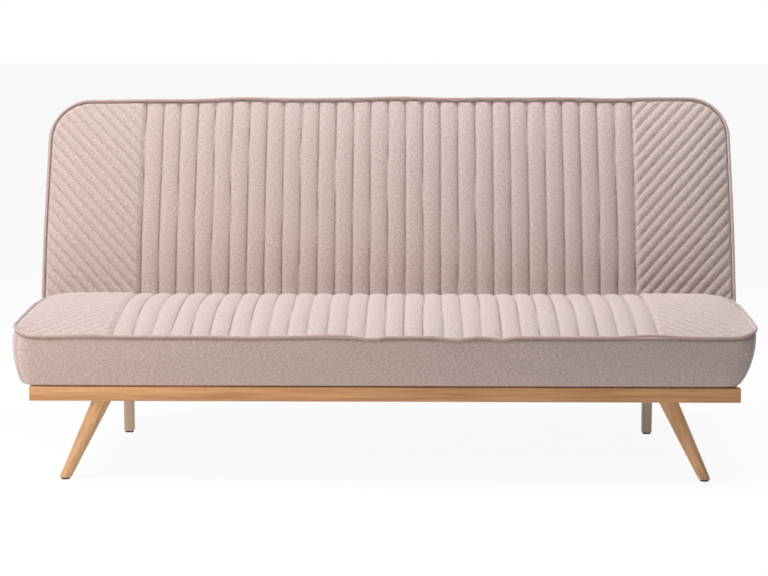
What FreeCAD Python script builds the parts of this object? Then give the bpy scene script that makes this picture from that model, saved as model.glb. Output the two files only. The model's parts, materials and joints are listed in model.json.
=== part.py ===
import FreeCAD, Part
import math
import os

# Click clack sofa bed: a wooden base on four legs carries a quilted seat and a quilted
# backrest, joined at both ends by a ratchet hinge. Millimetres, X along the sofa, +Y to
# the rear, +Z up. The parts are drawn with Y = 0 at the front rail's face, and the
# finished sofa is set over its own middle before it is written.

# Overall layout
SEAT_HALF_WIDTH = 893.0
BACK_PAST_SEAT = 11.0
HINGE_IN_FROM_EDGE = 65.0
BACK_LEAN = 18.0
OTHER_BODY_GAP = 0.3
FIT_GAP = 0.05

# Wooden base
RAIL_OVERHANG = 5.0
RAIL_HEIGHT = 35.0
RAIL_THICKNESS = 22.0
RAIL_BOTTOM = 198.0
RAIL_EDGE = 2.0
BASE_DEPTH = 607.0
CROSS_RAIL_X = 280.0
CROSS_RAIL_DROP = 3.0
CORNER_BLOCK = 60.0
LEG_BOARD_LENGTH = 190.0
LEG_BOARD_DEPTH = 95.0
LEG_BOARD_THICKNESS = 18.0
LEG_PLATE = 2.5
LEG_PLATE_SIZE = 84.0
LEG_PLATE_CORNER = 8.0
FRONT_LEG_INSET = 142.0
FRONT_LEG_TOP_Y = 64.0
FRONT_LEG_SPLAY = 90.0
FRONT_LEG_FOOT_Y = 30.0
FRONT_LEG_TOP_D = 44.0
FRONT_LEG_FOOT_D = 26.0
REAR_LEG_INSET = 133.0
REAR_LEG_SIDE = 26.0
REAR_LEG_CHAMFER = 2.0
GLIDE_HEIGHT = 4.0
FRONT_GLIDE_R = 11.0
REAR_GLIDE_SIDE = 20.0
PAD_SIDE = 16.0

# Seat
SEAT_FRONT = -8.0
SEAT_EDGE_Z = 352.0
SEAT_CROWN_Y = 255.0
SEAT_CROWN_Z = 380.0
SEAT_REAR_Z = 371.0
SEAT_REAR_EDGE_Z = 364.0
SEAT_REAR_GAP = 54.0
SEAT_FRONT_BULGE = 7.0
SEAT_FRONT_FOOT = 1.0
SEAT_SIDE_LEAN = 37.0
SEAT_CORNER_R = 45.0
SEAT_REAR_CORNER_R = 14.0
SEAT_FOAM_BOTTOM = 290.0
SOFT_EDGE_R = 25.0
SOFT_EDGE_OVER = 4.0
SIDE_FALL_WIDTH = 90.0
SIDE_FALL = 30.0
FALL_MIDDLE_IN = 0.42
FALL_MIDDLE_UP = 0.66
SIDE_BULGE = 0.16

# Backrest, along its face and behind it, from the hinge pin
FACE_ABOVE_PIN = 45.0
BACK_BELOW_PIN = 33.0
BACK_ABOVE_PIN = 574.0
BACK_THICKNESS = 140.0
BACK_CROWN = 13.0
BACK_CORNER_R = 96.0
BACK_FOAM = 85.0
BACK_COVER = 3.0

# Quilting and piping
RIB_PITCH = 46.25
RIB_COUNT = 28
GROOVE_DEPTH = 5.0
GROOVE_HALF_WIDTH = 4.0
RIB_FLANK = 0.2
DIAGONAL_PITCH = 37.0
DIAGONAL_DEPTH = 2.5
DIAGONAL_HALF_WIDTH = 2.5
DIAGONAL_OVER = 8.0
BLOCK_DEPTH = 160.0
DIAGONAL_SEAM_GAP = 8.0
DIAGONAL_EDGE_GAP = 14.0
DIAGONAL_SIDE_GAP = 50.0
PIPING_R = 4.0
CORD_SIDES = 8
BORDER = 8.0

# Frames inside the seat and the backrest
BOARD = 20.0
WEBBING = 2.0
WEBBING_WIDTH = 60.0
WEBBING_COUNT = 9
WEBBING_END_GAP = 74.0
DUST_COVER = 1.5
EDGE_BOARD = 12.0
EDGE_BOARD_GAP = 2.0
FRAME_FRONT = 9.0
INNER_BOARD_X = 270.0
BACK_EDGE_GAP = 4.0
WING_BLOCK = 30.0

# Ratchet hinge
PIN_BEFORE_REAR = 91.0
PIN_Z = 333.0
PLATE = 4.0
PLATE_PITCH = 5.0
PIN_R = 7.0
PIN_HEAD_R = 11.0
PIN_HEAD = 4.0
EYE_R = 22.0
SEAT_ARM_EYE_R = 20.0
SEAT_ARM_HALF_WIDTH = 14.0
SEAT_ARM_END_HALF_WIDTH = 13.0
SEAT_ARM_DROP = 71.0
SEAT_ARM_LENGTH = 330.0
BACK_ARM_REACH = 86.0
BACK_ARM_LENGTH = 232.0
BACK_ARM_BEHIND = 66.0
BACK_ARM_NECK_R = 20.0
BACK_ARM_ELBOW_R = 19.0
BACK_ARM_HEEL_R = 18.0
BACK_ARM_END_R = 16.0
TIP_R = 46.0
ROOT_R = 39.5
RATCHET_STEP = 18.0
RATCHET_NOTCHES = 5
NOSE_ANGLE = -100.0
PAWL_PIN_ANGLE = -50.0
PAWL_PIN_DISTANCE = 72.0
PAWL_PIN_R = 4.0
PAWL_EYE_R = 8.0
PAWL_HEEL_R = 5.0
PAWL_HEEL_DISTANCE = 61.0
NOSE_HALF_WIDTH = 3.2
NOSE_TIP_HALF_WIDTH = 1.7
NOTCH_RIM_ANGLE = 5.6
NOTCH_ROOT_ANGLE = 3.2
SPRING_WIRE_R = 0.75
SPRING_COIL_R = 6.5
SPRING_PEG_R = 2.5
SPRING_PEG_DROP = 18.0
HINGE_FOOT_FRONT = 44.0
HINGE_WEB_ANGLE = 200.0
HINGE_FOOT_REAR = 57.0
HINGE_NOTCH_TOP = 62.0
HINGE_NOTCH_SKIN = 19.0
HINGE_NOTCH_GAP_INSIDE = 10.0
HINGE_NOTCH_GAP_OUTSIDE = 9.0

# Fasteners
BOLT_SIDE = 7.0
BOLT_HEAD_R = 8.0
BOLT_HEAD = 3.0
SCREW_R = 2.0
SCREW_HEAD_R = 4.0

# Worked out from the sizes above
BACK_HALF_WIDTH = SEAT_HALF_WIDTH + BACK_PAST_SEAT
SIDE_RAIL_INSIDE = SEAT_HALF_WIDTH - HINGE_IN_FROM_EDGE
RAIL_LENGTH = 2 * (SIDE_RAIL_INSIDE + RAIL_THICKNESS + RAIL_OVERHANG)
FRONT_LEG_TOP_X = SIDE_RAIL_INSIDE - FRONT_LEG_INSET
FRONT_LEG_FOOT_X = FRONT_LEG_TOP_X + FRONT_LEG_SPLAY
REAR_LEG_X = SIDE_RAIL_INSIDE - REAR_LEG_INSET
PIN_Y = BASE_DEPTH - PIN_BEFORE_REAR
RAIL_TOP = RAIL_BOTTOM + RAIL_HEIGHT
SEAT_BOTTOM = RAIL_TOP + OTHER_BODY_GAP
SEAT_REAR = PIN_Y - SEAT_REAR_GAP
RECLINE = 90.0 - BACK_LEAN
PANEL_HALF_WIDTH = RIB_PITCH * RIB_COUNT / 2.0
BASE_PLATE_X = SIDE_RAIL_INSIDE - PLATE
SEAT_ARM_X = BASE_PLATE_X - PLATE_PITCH
BACK_ARM_X = SEAT_ARM_X - PLATE_PITCH
HINGE_NOTCH_INSIDE = BACK_ARM_X - HINGE_NOTCH_GAP_INSIDE
HINGE_NOTCH_OUTSIDE = SIDE_RAIL_INSIDE + HINGE_NOTCH_GAP_OUTSIDE
SEAT_SIDE_FOOT = SEAT_HALF_WIDTH - SEAT_SIDE_LEAN
EDGE_BOARD_INSIDE = SEAT_SIDE_FOOT - BORDER - EDGE_BOARD_GAP - EDGE_BOARD
BACK_EDGE_BOARD_X = BACK_HALF_WIDTH - BORDER - BACK_EDGE_GAP - BOARD
WEBBING_SPREAD = 2 * (BACK_ARM_X - BOARD - WEBBING_END_GAP)
BACK_FRONT_H = FACE_ABOVE_PIN
BACK_REAR_H = FACE_ABOVE_PIN - BACK_THICKNESS
FOAM_REAR_H = FACE_ABOVE_PIN - BACK_FOAM
COVER_H = BACK_REAR_H + BACK_COVER
REAR_LEG_REAR = BASE_DEPTH - RAIL_THICKNESS
FAR = 2000.0


# Helpers
def vec(x, y, z):
    return FreeCAD.Vector(x, y, z)


def box(x0, x1, y0, y1, z0, z1):
    return Part.makeBox(x1 - x0, y1 - y0, z1 - z0, vec(x0, y0, z0))


def rod(start, direction, radius, length):
    return Part.makeCylinder(radius, length, start, direction)


def mirrored(shape):
    return shape.mirror(vec(0, 0, 0), vec(1, 0, 0))


def both_sides(shape):
    return [shape, mirrored(shape)]


def solid_from(wire, direction):
    return Part.Face(wire).extrude(direction)


def closed_polygon(points):
    return Part.makePolygon(points + [points[0]])


def arc(first, middle, last):
    return Part.Arc(first, middle, last).toShape()


def line(first, last):
    return Part.LineSegment(first, last).toShape()


def chain(*edges):
    return Part.Wire(list(edges))


def circle_centre(a, b, c):
    """Centre and radius of the circle through three points given as (u, v)."""
    d = 2.0 * (a[0] * (b[1] - c[1]) + b[0] * (c[1] - a[1]) + c[0] * (a[1] - b[1]))
    aa = a[0] ** 2 + a[1] ** 2
    bb = b[0] ** 2 + b[1] ** 2
    cc = c[0] ** 2 + c[1] ** 2
    u = (aa * (b[1] - c[1]) + bb * (c[1] - a[1]) + cc * (a[1] - b[1])) / d
    v = (aa * (c[0] - b[0]) + bb * (a[0] - c[0]) + cc * (b[0] - a[0])) / d
    return u, v, math.hypot(a[0] - u, a[1] - v)


def polar(radius, degrees, centre=(0.0, 0.0)):
    angle = math.radians(degrees)
    return centre[0] + radius * math.cos(angle), centre[1] + radius * math.sin(angle)


def link(first, first_r, last, last_r, x, thickness):
    """Flat bar with round ends between two points of the Y-Z plane, from x outwards."""
    du = last[0] - first[0]
    dv = last[1] - first[1]
    span = math.hypot(du, dv)
    lean = math.asin((first_r - last_r) / span)
    heading = math.atan2(dv, du)
    left = heading + math.pi / 2.0 - lean
    right = heading - math.pi / 2.0 + lean

    def on(centre, radius, angle):
        return vec(x, centre[0] + radius * math.cos(angle), centre[1] + radius * math.sin(angle))

    wire = chain(
        line(on(first, first_r, right), on(last, last_r, right)),
        arc(on(last, last_r, right), on(last, last_r, heading), on(last, last_r, left)),
        line(on(last, last_r, left), on(first, first_r, left)),
        arc(on(first, first_r, left), on(first, first_r, heading + math.pi), on(first, first_r, right)),
    )
    return solid_from(wire, vec(thickness, 0, 0))


def disc(centre, radius, x, thickness):
    return rod(vec(x, centre[0], centre[1]), vec(1, 0, 0), radius, thickness)


def prism_x(points, x, thickness):
    return solid_from(closed_polygon([vec(x, u, v) for u, v in points]), vec(thickness, 0, 0))


def fused(shapes):
    return shapes[0].multiFuse(shapes[1:]).removeSplitter()


def at_pin(shape):
    """Move a shape drawn about the hinge pin to the pin's place."""
    moved = shape.copy()
    moved.translate(vec(0, PIN_Y, PIN_Z))
    return moved


def upright(shape):
    """Stand up a shape that is drawn as the backrest lies flat, about the hinge pin."""
    turned = shape.copy()
    turned.rotate(vec(0, 0, 0), vec(1, 0, 0), RECLINE)
    return at_pin(turned)


# Wooden base
def front_rail():
    rail = box(-RAIL_LENGTH / 2, RAIL_LENGTH / 2, 0, RAIL_THICKNESS, RAIL_BOTTOM, RAIL_TOP)
    front_edges = [e for e in rail.Edges if abs(e.BoundBox.YMax) < 1e-6 and e.BoundBox.XLength > 1]
    return rail.makeFillet(RAIL_EDGE, front_edges)


def side_rails():
    outside = SIDE_RAIL_INSIDE + RAIL_THICKNESS
    return both_sides(box(SIDE_RAIL_INSIDE, outside, RAIL_THICKNESS, BASE_DEPTH, RAIL_BOTTOM, RAIL_TOP))


def rear_rail():
    return box(-SIDE_RAIL_INSIDE, SIDE_RAIL_INSIDE, REAR_LEG_REAR, BASE_DEPTH, RAIL_BOTTOM, RAIL_TOP)


def cross_rails():
    half = RAIL_THICKNESS / 2
    top = RAIL_TOP - CROSS_RAIL_DROP
    rail = box(CROSS_RAIL_X - half, CROSS_RAIL_X + half, RAIL_THICKNESS, REAR_LEG_REAR, RAIL_BOTTOM, top)
    return both_sides(rail)


def corner_blocks():
    """Triangular blocks in the front corners, on top of the leg boards."""
    low = RAIL_BOTTOM + LEG_BOARD_THICKNESS
    corner = vec(SIDE_RAIL_INSIDE, RAIL_THICKNESS, low)
    along = corner - vec(CORNER_BLOCK, 0, 0)
    back = corner + vec(0, CORNER_BLOCK, 0)
    rise = vec(0, 0, RAIL_TOP - CROSS_RAIL_DROP - low)
    return both_sides(solid_from(closed_polygon([corner, along, back]), rise))


def leg_boards():
    outer = SIDE_RAIL_INSIDE
    inner = outer - LEG_BOARD_LENGTH
    rear = RAIL_THICKNESS + LEG_BOARD_DEPTH
    return both_sides(box(inner, outer, RAIL_THICKNESS, rear, RAIL_BOTTOM, RAIL_BOTTOM + LEG_BOARD_THICKNESS))


def leg_plate_top():
    return RAIL_BOTTOM - LEG_PLATE


def leg_plates():
    half = LEG_PLATE_SIZE / 2
    x = FRONT_LEG_TOP_X
    y = FRONT_LEG_TOP_Y
    plate = box(x - half, x + half, y - half, y + half, leg_plate_top(), RAIL_BOTTOM)
    corners = [e for e in plate.Edges if e.BoundBox.ZLength > LEG_PLATE / 2]
    plate = plate.makeChamfer(LEG_PLATE_CORNER, corners)
    return both_sides(plate)


def leg_plate_screws():
    reach = LEG_PLATE_SIZE / 2 - LEG_PLATE_CORNER - SCREW_R
    screws = []
    for dx in (-reach, reach):
        for dy in (-reach, reach):
            x = FRONT_LEG_TOP_X + dx
            y = FRONT_LEG_TOP_Y + dy
            head = hexagon(vec(x, y, leg_plate_top()), vec(0, 0, -1), SCREW_HEAD_R, SCREW_R)
            screws += both_sides(head)
    return screws


def front_leg():
    """Round tapered leg that splays outwards, cut level at its plate and its glide."""
    top = vec(FRONT_LEG_TOP_X, FRONT_LEG_TOP_Y, leg_plate_top())
    foot = vec(FRONT_LEG_FOOT_X, FRONT_LEG_FOOT_Y, GLIDE_HEIGHT)
    axis = top - foot
    length = axis.Length
    unit = axis * (1.0 / length)
    spare = FRONT_LEG_FOOT_D
    grow = (FRONT_LEG_TOP_D - FRONT_LEG_FOOT_D) / 2 / length * spare
    foot_r = FRONT_LEG_FOOT_D / 2 - grow
    top_r = FRONT_LEG_TOP_D / 2 + grow
    cone = Part.makeCone(foot_r, top_r, length + 2 * spare, foot - unit * spare, unit)
    return cone.common(box(0, FAR, -FAR, FAR, GLIDE_HEIGHT, leg_plate_top()))


def rear_leg():
    half = REAR_LEG_SIDE / 2
    front = REAR_LEG_REAR - REAR_LEG_SIDE
    top = RAIL_TOP - CROSS_RAIL_DROP
    leg = box(REAR_LEG_X - half, REAR_LEG_X + half, front, REAR_LEG_REAR, GLIDE_HEIGHT, top)
    upright_edges = [e for e in leg.Edges if e.BoundBox.ZLength > RAIL_HEIGHT]
    return leg.makeChamfer(REAR_LEG_CHAMFER, upright_edges)


def rear_leg_middle_y():
    return REAR_LEG_REAR - REAR_LEG_SIDE / 2


def foot_glides():
    up = vec(0, 0, 1)
    front = rod(vec(FRONT_LEG_FOOT_X, FRONT_LEG_FOOT_Y, 0), up, FRONT_GLIDE_R, GLIDE_HEIGHT)
    half = REAR_GLIDE_SIDE / 2
    y = rear_leg_middle_y()
    rear = box(REAR_LEG_X - half, REAR_LEG_X + half, y - half, y + half, 0, GLIDE_HEIGHT)
    return both_sides(front) + both_sides(rear)


def hexagon(centre, direction, radius, height):
    """Six-sided head or nut that rises from centre along direction."""
    side = vec(0, 0, 1) if abs(direction.z) < 0.5 else vec(1, 0, 0)
    across = direction.cross(side)
    corners = []
    for i in range(6):
        u, v = polar(radius, 60.0 * i)
        corners.append(centre + side * u + across * v)
    return solid_from(closed_polygon(corners), direction * height)


def neck(start, direction, length):
    """Square shank of a coach bolt, also the cutter of its hole."""
    side = vec(0, 0, 1)
    across = direction.cross(side)
    half = BOLT_SIDE / 2
    corners = [start + side * u * half + across * v * half for u, v in ((1, 1), (1, -1), (-1, -1), (-1, 1))]
    return solid_from(closed_polygon(corners), direction * length)


def bolt(start, direction, grip):
    """Bolt whose head stands out from start, and whose nut is grip away behind it."""
    head = hexagon(start, direction, BOLT_HEAD_R, BOLT_HEAD)
    nut = hexagon(start - direction * grip, direction * -1, BOLT_HEAD_R, BOLT_HEAD)
    return fused([head, neck(start, direction * -1, grip), nut])


def bolt_x(x, y, z, out, grip):
    return bolt(vec(x, y, z), vec(out, 0, 0), grip)


def bolt_hole_x(x0, x1, y, z):
    return neck(vec(x0, y, z), vec(1, 0, 0), x1 - x0)


def rear_leg_bolt(z):
    start = vec(REAR_LEG_X, REAR_LEG_REAR - REAR_LEG_SIDE, z)
    return bolt(start, vec(0, -1, 0), REAR_LEG_SIDE + RAIL_THICKNESS)


def rear_leg_bolt_z():
    return RAIL_BOTTOM + RAIL_HEIGHT / 2


def buffer_pad(y, z0, z1):
    half = PAD_SIDE / 2
    return box(CROSS_RAIL_X - half, CROSS_RAIL_X + half, y - half, y + half, z0, z1)


def seat_rest_pads():
    pads = []
    for y in (RAIL_THICKNESS + CORNER_BLOCK, SEAT_REAR - CORNER_BLOCK):
        pads += both_sides(buffer_pad(y, RAIL_TOP - CROSS_RAIL_DROP, RAIL_TOP))
    return pads


def back_rest_pads():
    z = PIN_Z + BACK_REAR_H - OTHER_BODY_GAP
    y = BASE_DEPTH - RAIL_THICKNESS / 2
    return both_sides(buffer_pad(y, RAIL_TOP, z))


# Ratchet hinge, drawn at the right-hand end about the pin
def pawl_pin():
    return polar(PAWL_PIN_DISTANCE, PAWL_PIN_ANGLE)


def hinge_foot_heights():
    return RAIL_BOTTOM - PIN_Z, RAIL_TOP - PIN_Z


def hinge_bolt_places():
    low, high = hinge_foot_heights()
    middle = (low + high) / 2
    return [(-HINGE_FOOT_FRONT + 2 * BOLT_HEAD_R, middle), (HINGE_FOOT_REAR - 2 * BOLT_HEAD_R, middle)]


def hinge_plate():
    low, high = hinge_foot_heights()
    pawl = pawl_pin()
    outline = [
        polar(EYE_R, HINGE_WEB_ANGLE),
        (-HINGE_FOOT_FRONT, high),
        (-HINGE_FOOT_FRONT, low),
        (HINGE_FOOT_REAR, low),
        (HINGE_FOOT_REAR, high),
        (pawl[0] + PAWL_EYE_R, pawl[1]),
        (0.0, 0.0),
    ]
    web = prism_x(outline, BASE_PLATE_X, PLATE)
    plate = fused(
        [
            web,
            disc((0, 0), EYE_R, BASE_PLATE_X, PLATE),
            link((0, 0), EYE_R, pawl, PAWL_EYE_R + PLATE, BASE_PLATE_X, PLATE),
            spring_peg(),
        ]
    )
    holes = [disc((0, 0), PIN_R, BASE_PLATE_X, PLATE), disc(pawl, PAWL_PIN_R, BASE_PLATE_X, PLATE)]
    holes += [bolt_hole_x(BASE_PLATE_X, BASE_PLATE_X + PLATE, y, z) for y, z in hinge_bolt_places()]
    return at_pin(plate.cut(holes))


def hinge_plate_bolts():
    bolts = []
    for y, z in hinge_bolt_places():
        bolt = bolt_x(BASE_PLATE_X, y, z, -1, PLATE + RAIL_THICKNESS)
        bolts += both_sides(at_pin(bolt))
    return bolts


def main_pins():
    inside = BACK_ARM_X - OTHER_BODY_GAP
    shank = disc((0, 0), PIN_R, inside, SIDE_RAIL_INSIDE - inside)
    head = hexagon(vec(inside, 0, 0), vec(-1, 0, 0), PIN_HEAD_R, PIN_HEAD)
    return both_sides(at_pin(fused([head, shank])))


def pawl_pins():
    """Riveted pins that end flush with the pawls, clear of the backrest's side boards."""
    inside = BACK_ARM_X + OTHER_BODY_GAP
    return both_sides(at_pin(disc(pawl_pin(), PAWL_PIN_R, inside, SIDE_RAIL_INSIDE - inside)))


def pawl_peg():
    pin = pawl_pin()
    return pin[0] / 2, pin[1] - SPRING_COIL_R + 2 * SPRING_WIRE_R + OTHER_BODY_GAP + SPRING_PEG_R


def spring_peg():
    pin = pawl_pin()
    x = BASE_PLATE_X - PLATE_PITCH + PLATE
    u = pin[0] + SPRING_COIL_R
    v = pin[1] - SPRING_PEG_DROP
    return box(x, BASE_PLATE_X, u, u + PLATE, v - 2 * SPRING_PEG_R, v)


def sleeve(centre, radius, x, length):
    return prism_x([polar(radius, 360.0 / CORD_SIDES * i, centre) for i in range(CORD_SIDES)], x, length)


def pawl_springs():
    """Springs that hold the pawls: a sleeve in place of the turns, with its two legs."""
    pin = pawl_pin()
    inside = BACK_ARM_X + PLATE + OTHER_BODY_GAP
    length = BASE_PLATE_X - inside
    wire = SPRING_WIRE_R
    coil = sleeve(pin, SPRING_COIL_R, inside, length)
    x = inside + length / 2
    low = pin[1] - SPRING_COIL_R + wire
    peg_side = pawl_peg()[0] - SPRING_PEG_R
    long_leg = box(x - wire, x + wire, peg_side, pin[0], low - wire, low + wire)
    side = pin[0] + SPRING_COIL_R - wire
    foot = pin[1] - SPRING_PEG_DROP - PLATE
    short_leg = box(x - wire, x + wire, side - wire, side + wire, foot, pin[1])
    spring = fused([coil, long_leg, short_leg])
    return both_sides(at_pin(spring.cut(sleeve(pin, SPRING_COIL_R - 2 * wire, inside, length))))


def pawl():
    pin = pawl_pin()
    heel = polar(PAWL_HEEL_DISTANCE, NOSE_ANGLE)
    tip_r = TIP_R + OTHER_BODY_GAP
    base_r = tip_r + (TIP_R - ROOT_R)
    points = [
        nose_point(PAWL_HEEL_DISTANCE, NOSE_HALF_WIDTH),
        nose_point(base_r, NOSE_HALF_WIDTH),
        nose_point(tip_r, NOSE_TIP_HALF_WIDTH),
        nose_point(tip_r, -NOSE_TIP_HALF_WIDTH),
        nose_point(base_r, -NOSE_HALF_WIDTH),
        nose_point(PAWL_HEEL_DISTANCE, -NOSE_HALF_WIDTH),
    ]
    lever = link(pin, PAWL_EYE_R, heel, PAWL_HEEL_R, BACK_ARM_X, PLATE)
    nose = prism_x(points, BACK_ARM_X, PLATE)
    peg = disc(pawl_peg(), SPRING_PEG_R, BACK_ARM_X, 2 * PLATE)
    body = fused([lever, nose, peg])
    return at_pin(body.cut(disc(pin, PAWL_PIN_R + FIT_GAP, BACK_ARM_X, PLATE)))


def nose_point(radius, across):
    angle = math.radians(NOSE_ANGLE)
    u, v = polar(radius, NOSE_ANGLE)
    return u - across * math.sin(angle), v + across * math.cos(angle)


def seat_arm_bolt_places():
    near = SEAT_REAR_GAP + BORDER + 2 * BOARD
    far = SEAT_ARM_LENGTH - BOARD
    return [(-near, -SEAT_ARM_DROP), (-far, -SEAT_ARM_DROP)]


def seat_arm():
    knee = (0.0, -SEAT_ARM_DROP)
    end = (-SEAT_ARM_LENGTH, -SEAT_ARM_DROP)
    arm = fused(
        [
            link((0, 0), SEAT_ARM_EYE_R, knee, SEAT_ARM_HALF_WIDTH, SEAT_ARM_X, PLATE),
            link(knee, SEAT_ARM_HALF_WIDTH, end, SEAT_ARM_END_HALF_WIDTH, SEAT_ARM_X, PLATE),
        ]
    )
    holes = [disc((0, 0), PIN_R + FIT_GAP, SEAT_ARM_X, PLATE)]
    holes += [bolt_hole_x(SEAT_ARM_X, SEAT_ARM_X + PLATE, y, z) for y, z in seat_arm_bolt_places()]
    return at_pin(arm.cut(holes))


def seat_arm_bolts():
    bolts = []
    for y, z in seat_arm_bolt_places():
        bolts += both_sides(at_pin(bolt_x(SEAT_ARM_X + PLATE, y, z, 1, PLATE + BOARD)))
    return bolts


def ratchet_sector():
    """Toothed sector, drawn as the backrest lies flat: the last notch meets the pawl."""
    half_step = RATCHET_STEP / 2
    last = NOSE_ANGLE
    first = NOSE_ANGLE - RATCHET_STEP * (RATCHET_NOTCHES - 1)
    start = polar(TIP_R, first - half_step)
    middle = polar(TIP_R, (first + last) / 2)
    end = polar(TIP_R, last + half_step)
    rim = arc(*[vec(BACK_ARM_X, u, v) for u, v in (start, middle, end)])
    centre = vec(BACK_ARM_X, 0, 0)
    wire = chain(
        rim,
        line(vec(BACK_ARM_X, *end), centre),
        line(centre, vec(BACK_ARM_X, *start)),
    )
    sector = solid_from(wire, vec(PLATE, 0, 0))
    notches = []
    for i in range(RATCHET_NOTCHES):
        angle = first + i * RATCHET_STEP
        over = TIP_R + PLATE
        wide = NOTCH_RIM_ANGLE + (NOTCH_RIM_ANGLE - NOTCH_ROOT_ANGLE) * PLATE / (TIP_R - ROOT_R)
        points = [
            polar(over, angle - wide),
            polar(ROOT_R, angle - NOTCH_ROOT_ANGLE),
            polar(ROOT_R, angle + NOTCH_ROOT_ANGLE),
            polar(over, angle + wide),
        ]
        notches.append(prism_x(points, BACK_ARM_X, PLATE))
    return sector.cut(notches)


def back_arm_bolt_places():
    return [(BACK_ARM_REACH + BOARD, -BACK_ARM_BEHIND), (BACK_ARM_LENGTH, -BACK_ARM_BEHIND)]


def back_arm():
    elbow = (BACK_ARM_REACH, 0.0)
    heel = (BACK_ARM_REACH, -BACK_ARM_BEHIND)
    end = (BACK_ARM_LENGTH, -BACK_ARM_BEHIND)
    arm = fused(
        [
            disc((0, 0), EYE_R, BACK_ARM_X, PLATE),
            link((0, 0), BACK_ARM_NECK_R, elbow, BACK_ARM_ELBOW_R, BACK_ARM_X, PLATE),
            link(elbow, BACK_ARM_ELBOW_R, heel, BACK_ARM_HEEL_R, BACK_ARM_X, PLATE),
            link(heel, BACK_ARM_HEEL_R, end, BACK_ARM_END_R, BACK_ARM_X, PLATE),
            ratchet_sector(),
        ]
    )
    holes = [disc((0, 0), PIN_R + FIT_GAP, BACK_ARM_X, PLATE)]
    holes += [bolt_hole_x(BACK_ARM_X, BACK_ARM_X + PLATE, t, h) for t, h in back_arm_bolt_places()]
    return upright(arm.cut(holes))


def back_arm_bolts():
    bolts = []
    for t, h in back_arm_bolt_places():
        bolts += both_sides(upright(bolt_x(BACK_ARM_X + PLATE, t, h, 1, PLATE + BOARD)))
    return bolts


# Seat cushion
def seat_crown():
    front = (SEAT_FRONT, SEAT_EDGE_Z)
    return circle_centre(front, (SEAT_CROWN_Y, SEAT_CROWN_Z), (SEAT_REAR, SEAT_REAR_Z))


def seat_crown_height(y):
    return crown_height(seat_crown(), y)


def seat_form(inset):
    """Outer form of the seat under its crown, drawn in by inset on its front, rear and sides."""
    front = SEAT_FRONT + inset
    rear = SEAT_REAR - inset
    round_y = rear - SOFT_EDGE_R
    round_z = seat_crown_height(SEAT_REAR - SOFT_EDGE_R) + SOFT_EDGE_OVER
    diagonal = SOFT_EDGE_R * math.sqrt(0.5)
    x = -FAR / 2
    high = SEAT_CROWN_Z + SOFT_EDGE_R
    middle_z = (SEAT_EDGE_Z + SEAT_BOTTOM) / 2
    top_front = vec(x, front, seat_crown_height(SEAT_FRONT))
    top_rear = vec(x, round_y, round_z)
    lower_rear = vec(x, rear, round_z - SOFT_EDGE_R)
    foot_rear = vec(x, rear, SEAT_BOTTOM)
    foot_front = vec(x, SEAT_FRONT_FOOT + inset, SEAT_BOTTOM)
    lengthwise = chain(
        line(top_front, vec(x, front, high)),
        line(vec(x, front, high), vec(x, round_y, high)),
        line(vec(x, round_y, high), top_rear),
        arc(top_rear, vec(x, round_y + diagonal, round_z - SOFT_EDGE_R + diagonal), lower_rear),
        line(lower_rear, foot_rear),
        line(foot_rear, foot_front),
        arc(foot_front, vec(x, front - SEAT_FRONT_BULGE, middle_z), top_front),
    )
    form = solid_from(lengthwise, vec(FAR, 0, 0))
    return form.common(seat_side_form(inset)).common(seat_plan(inset))


def seat_side_form(inset):
    """Section across the sofa, run from front to rear along the slope of the piping."""
    y = SEAT_FRONT - 2 * SOFT_EDGE_R
    edge = SEAT_HALF_WIDTH - inset
    foot = SEAT_SIDE_FOOT - inset
    sag = edge - (edge - foot) * SIDE_BULGE
    low = SEAT_BOTTOM
    bottom = low - SIDE_FALL
    fall_x = edge - SIDE_FALL_WIDTH * FALL_MIDDLE_IN
    fall_z = SEAT_EDGE_Z + SIDE_FALL * FALL_MIDDLE_UP

    def side(sign):
        return [
            vec(sign * foot, y, low),
            vec(sign * sag, y, (low + SEAT_EDGE_Z) / 2),
            vec(sign * edge, y, SEAT_EDGE_Z),
            vec(sign * fall_x, y, fall_z),
            vec(sign * (edge - SIDE_FALL_WIDTH), y, SEAT_EDGE_Z + SIDE_FALL),
        ]

    left = side(-1)
    right = side(1)
    wire = chain(
        arc(right[0], right[1], right[2]),
        arc(right[2], right[3], right[4]),
        line(right[4], left[4]),
        arc(left[4], left[3], left[2]),
        arc(left[2], left[1], left[0]),
        line(left[0], vec(-foot, y, bottom)),
        line(vec(-foot, y, bottom), vec(foot, y, bottom)),
        line(vec(foot, y, bottom), right[0]),
    )
    form = solid_from(wire, vec(0, FAR / 2, 0))
    slope = math.degrees(math.atan2(SEAT_REAR_EDGE_Z - SEAT_EDGE_Z, SEAT_REAR - SEAT_FRONT))
    form.rotate(vec(0, SEAT_FRONT, SEAT_EDGE_Z), vec(1, 0, 0), slope)
    return form


def rounded_plan(half, start, end, start_r, end_r, z, height):
    """Plan with round corners, from start to end along Y."""
    block = box(-half, half, start, end, z, z + height)

    def corner(edge, y):
        return edge.BoundBox.ZLength > height / 2 and abs(edge.BoundBox.YMax - y) < 1.0

    block = block.makeFillet(start_r, [e for e in block.Edges if corner(e, start)])
    return block.makeFillet(end_r, [e for e in block.Edges if corner(e, end)])


def seat_plan(inset):
    start = SEAT_FRONT - SEAT_FRONT_BULGE + inset
    return rounded_plan(
        SEAT_HALF_WIDTH - inset,
        start,
        SEAT_REAR - inset,
        SEAT_CORNER_R,
        SEAT_REAR_CORNER_R,
        SEAT_BOTTOM,
        FAR / 4,
    )


def crown_height(crown, y):
    return crown[1] + math.sqrt(crown[2] ** 2 - (y - crown[0]) ** 2)


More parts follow.
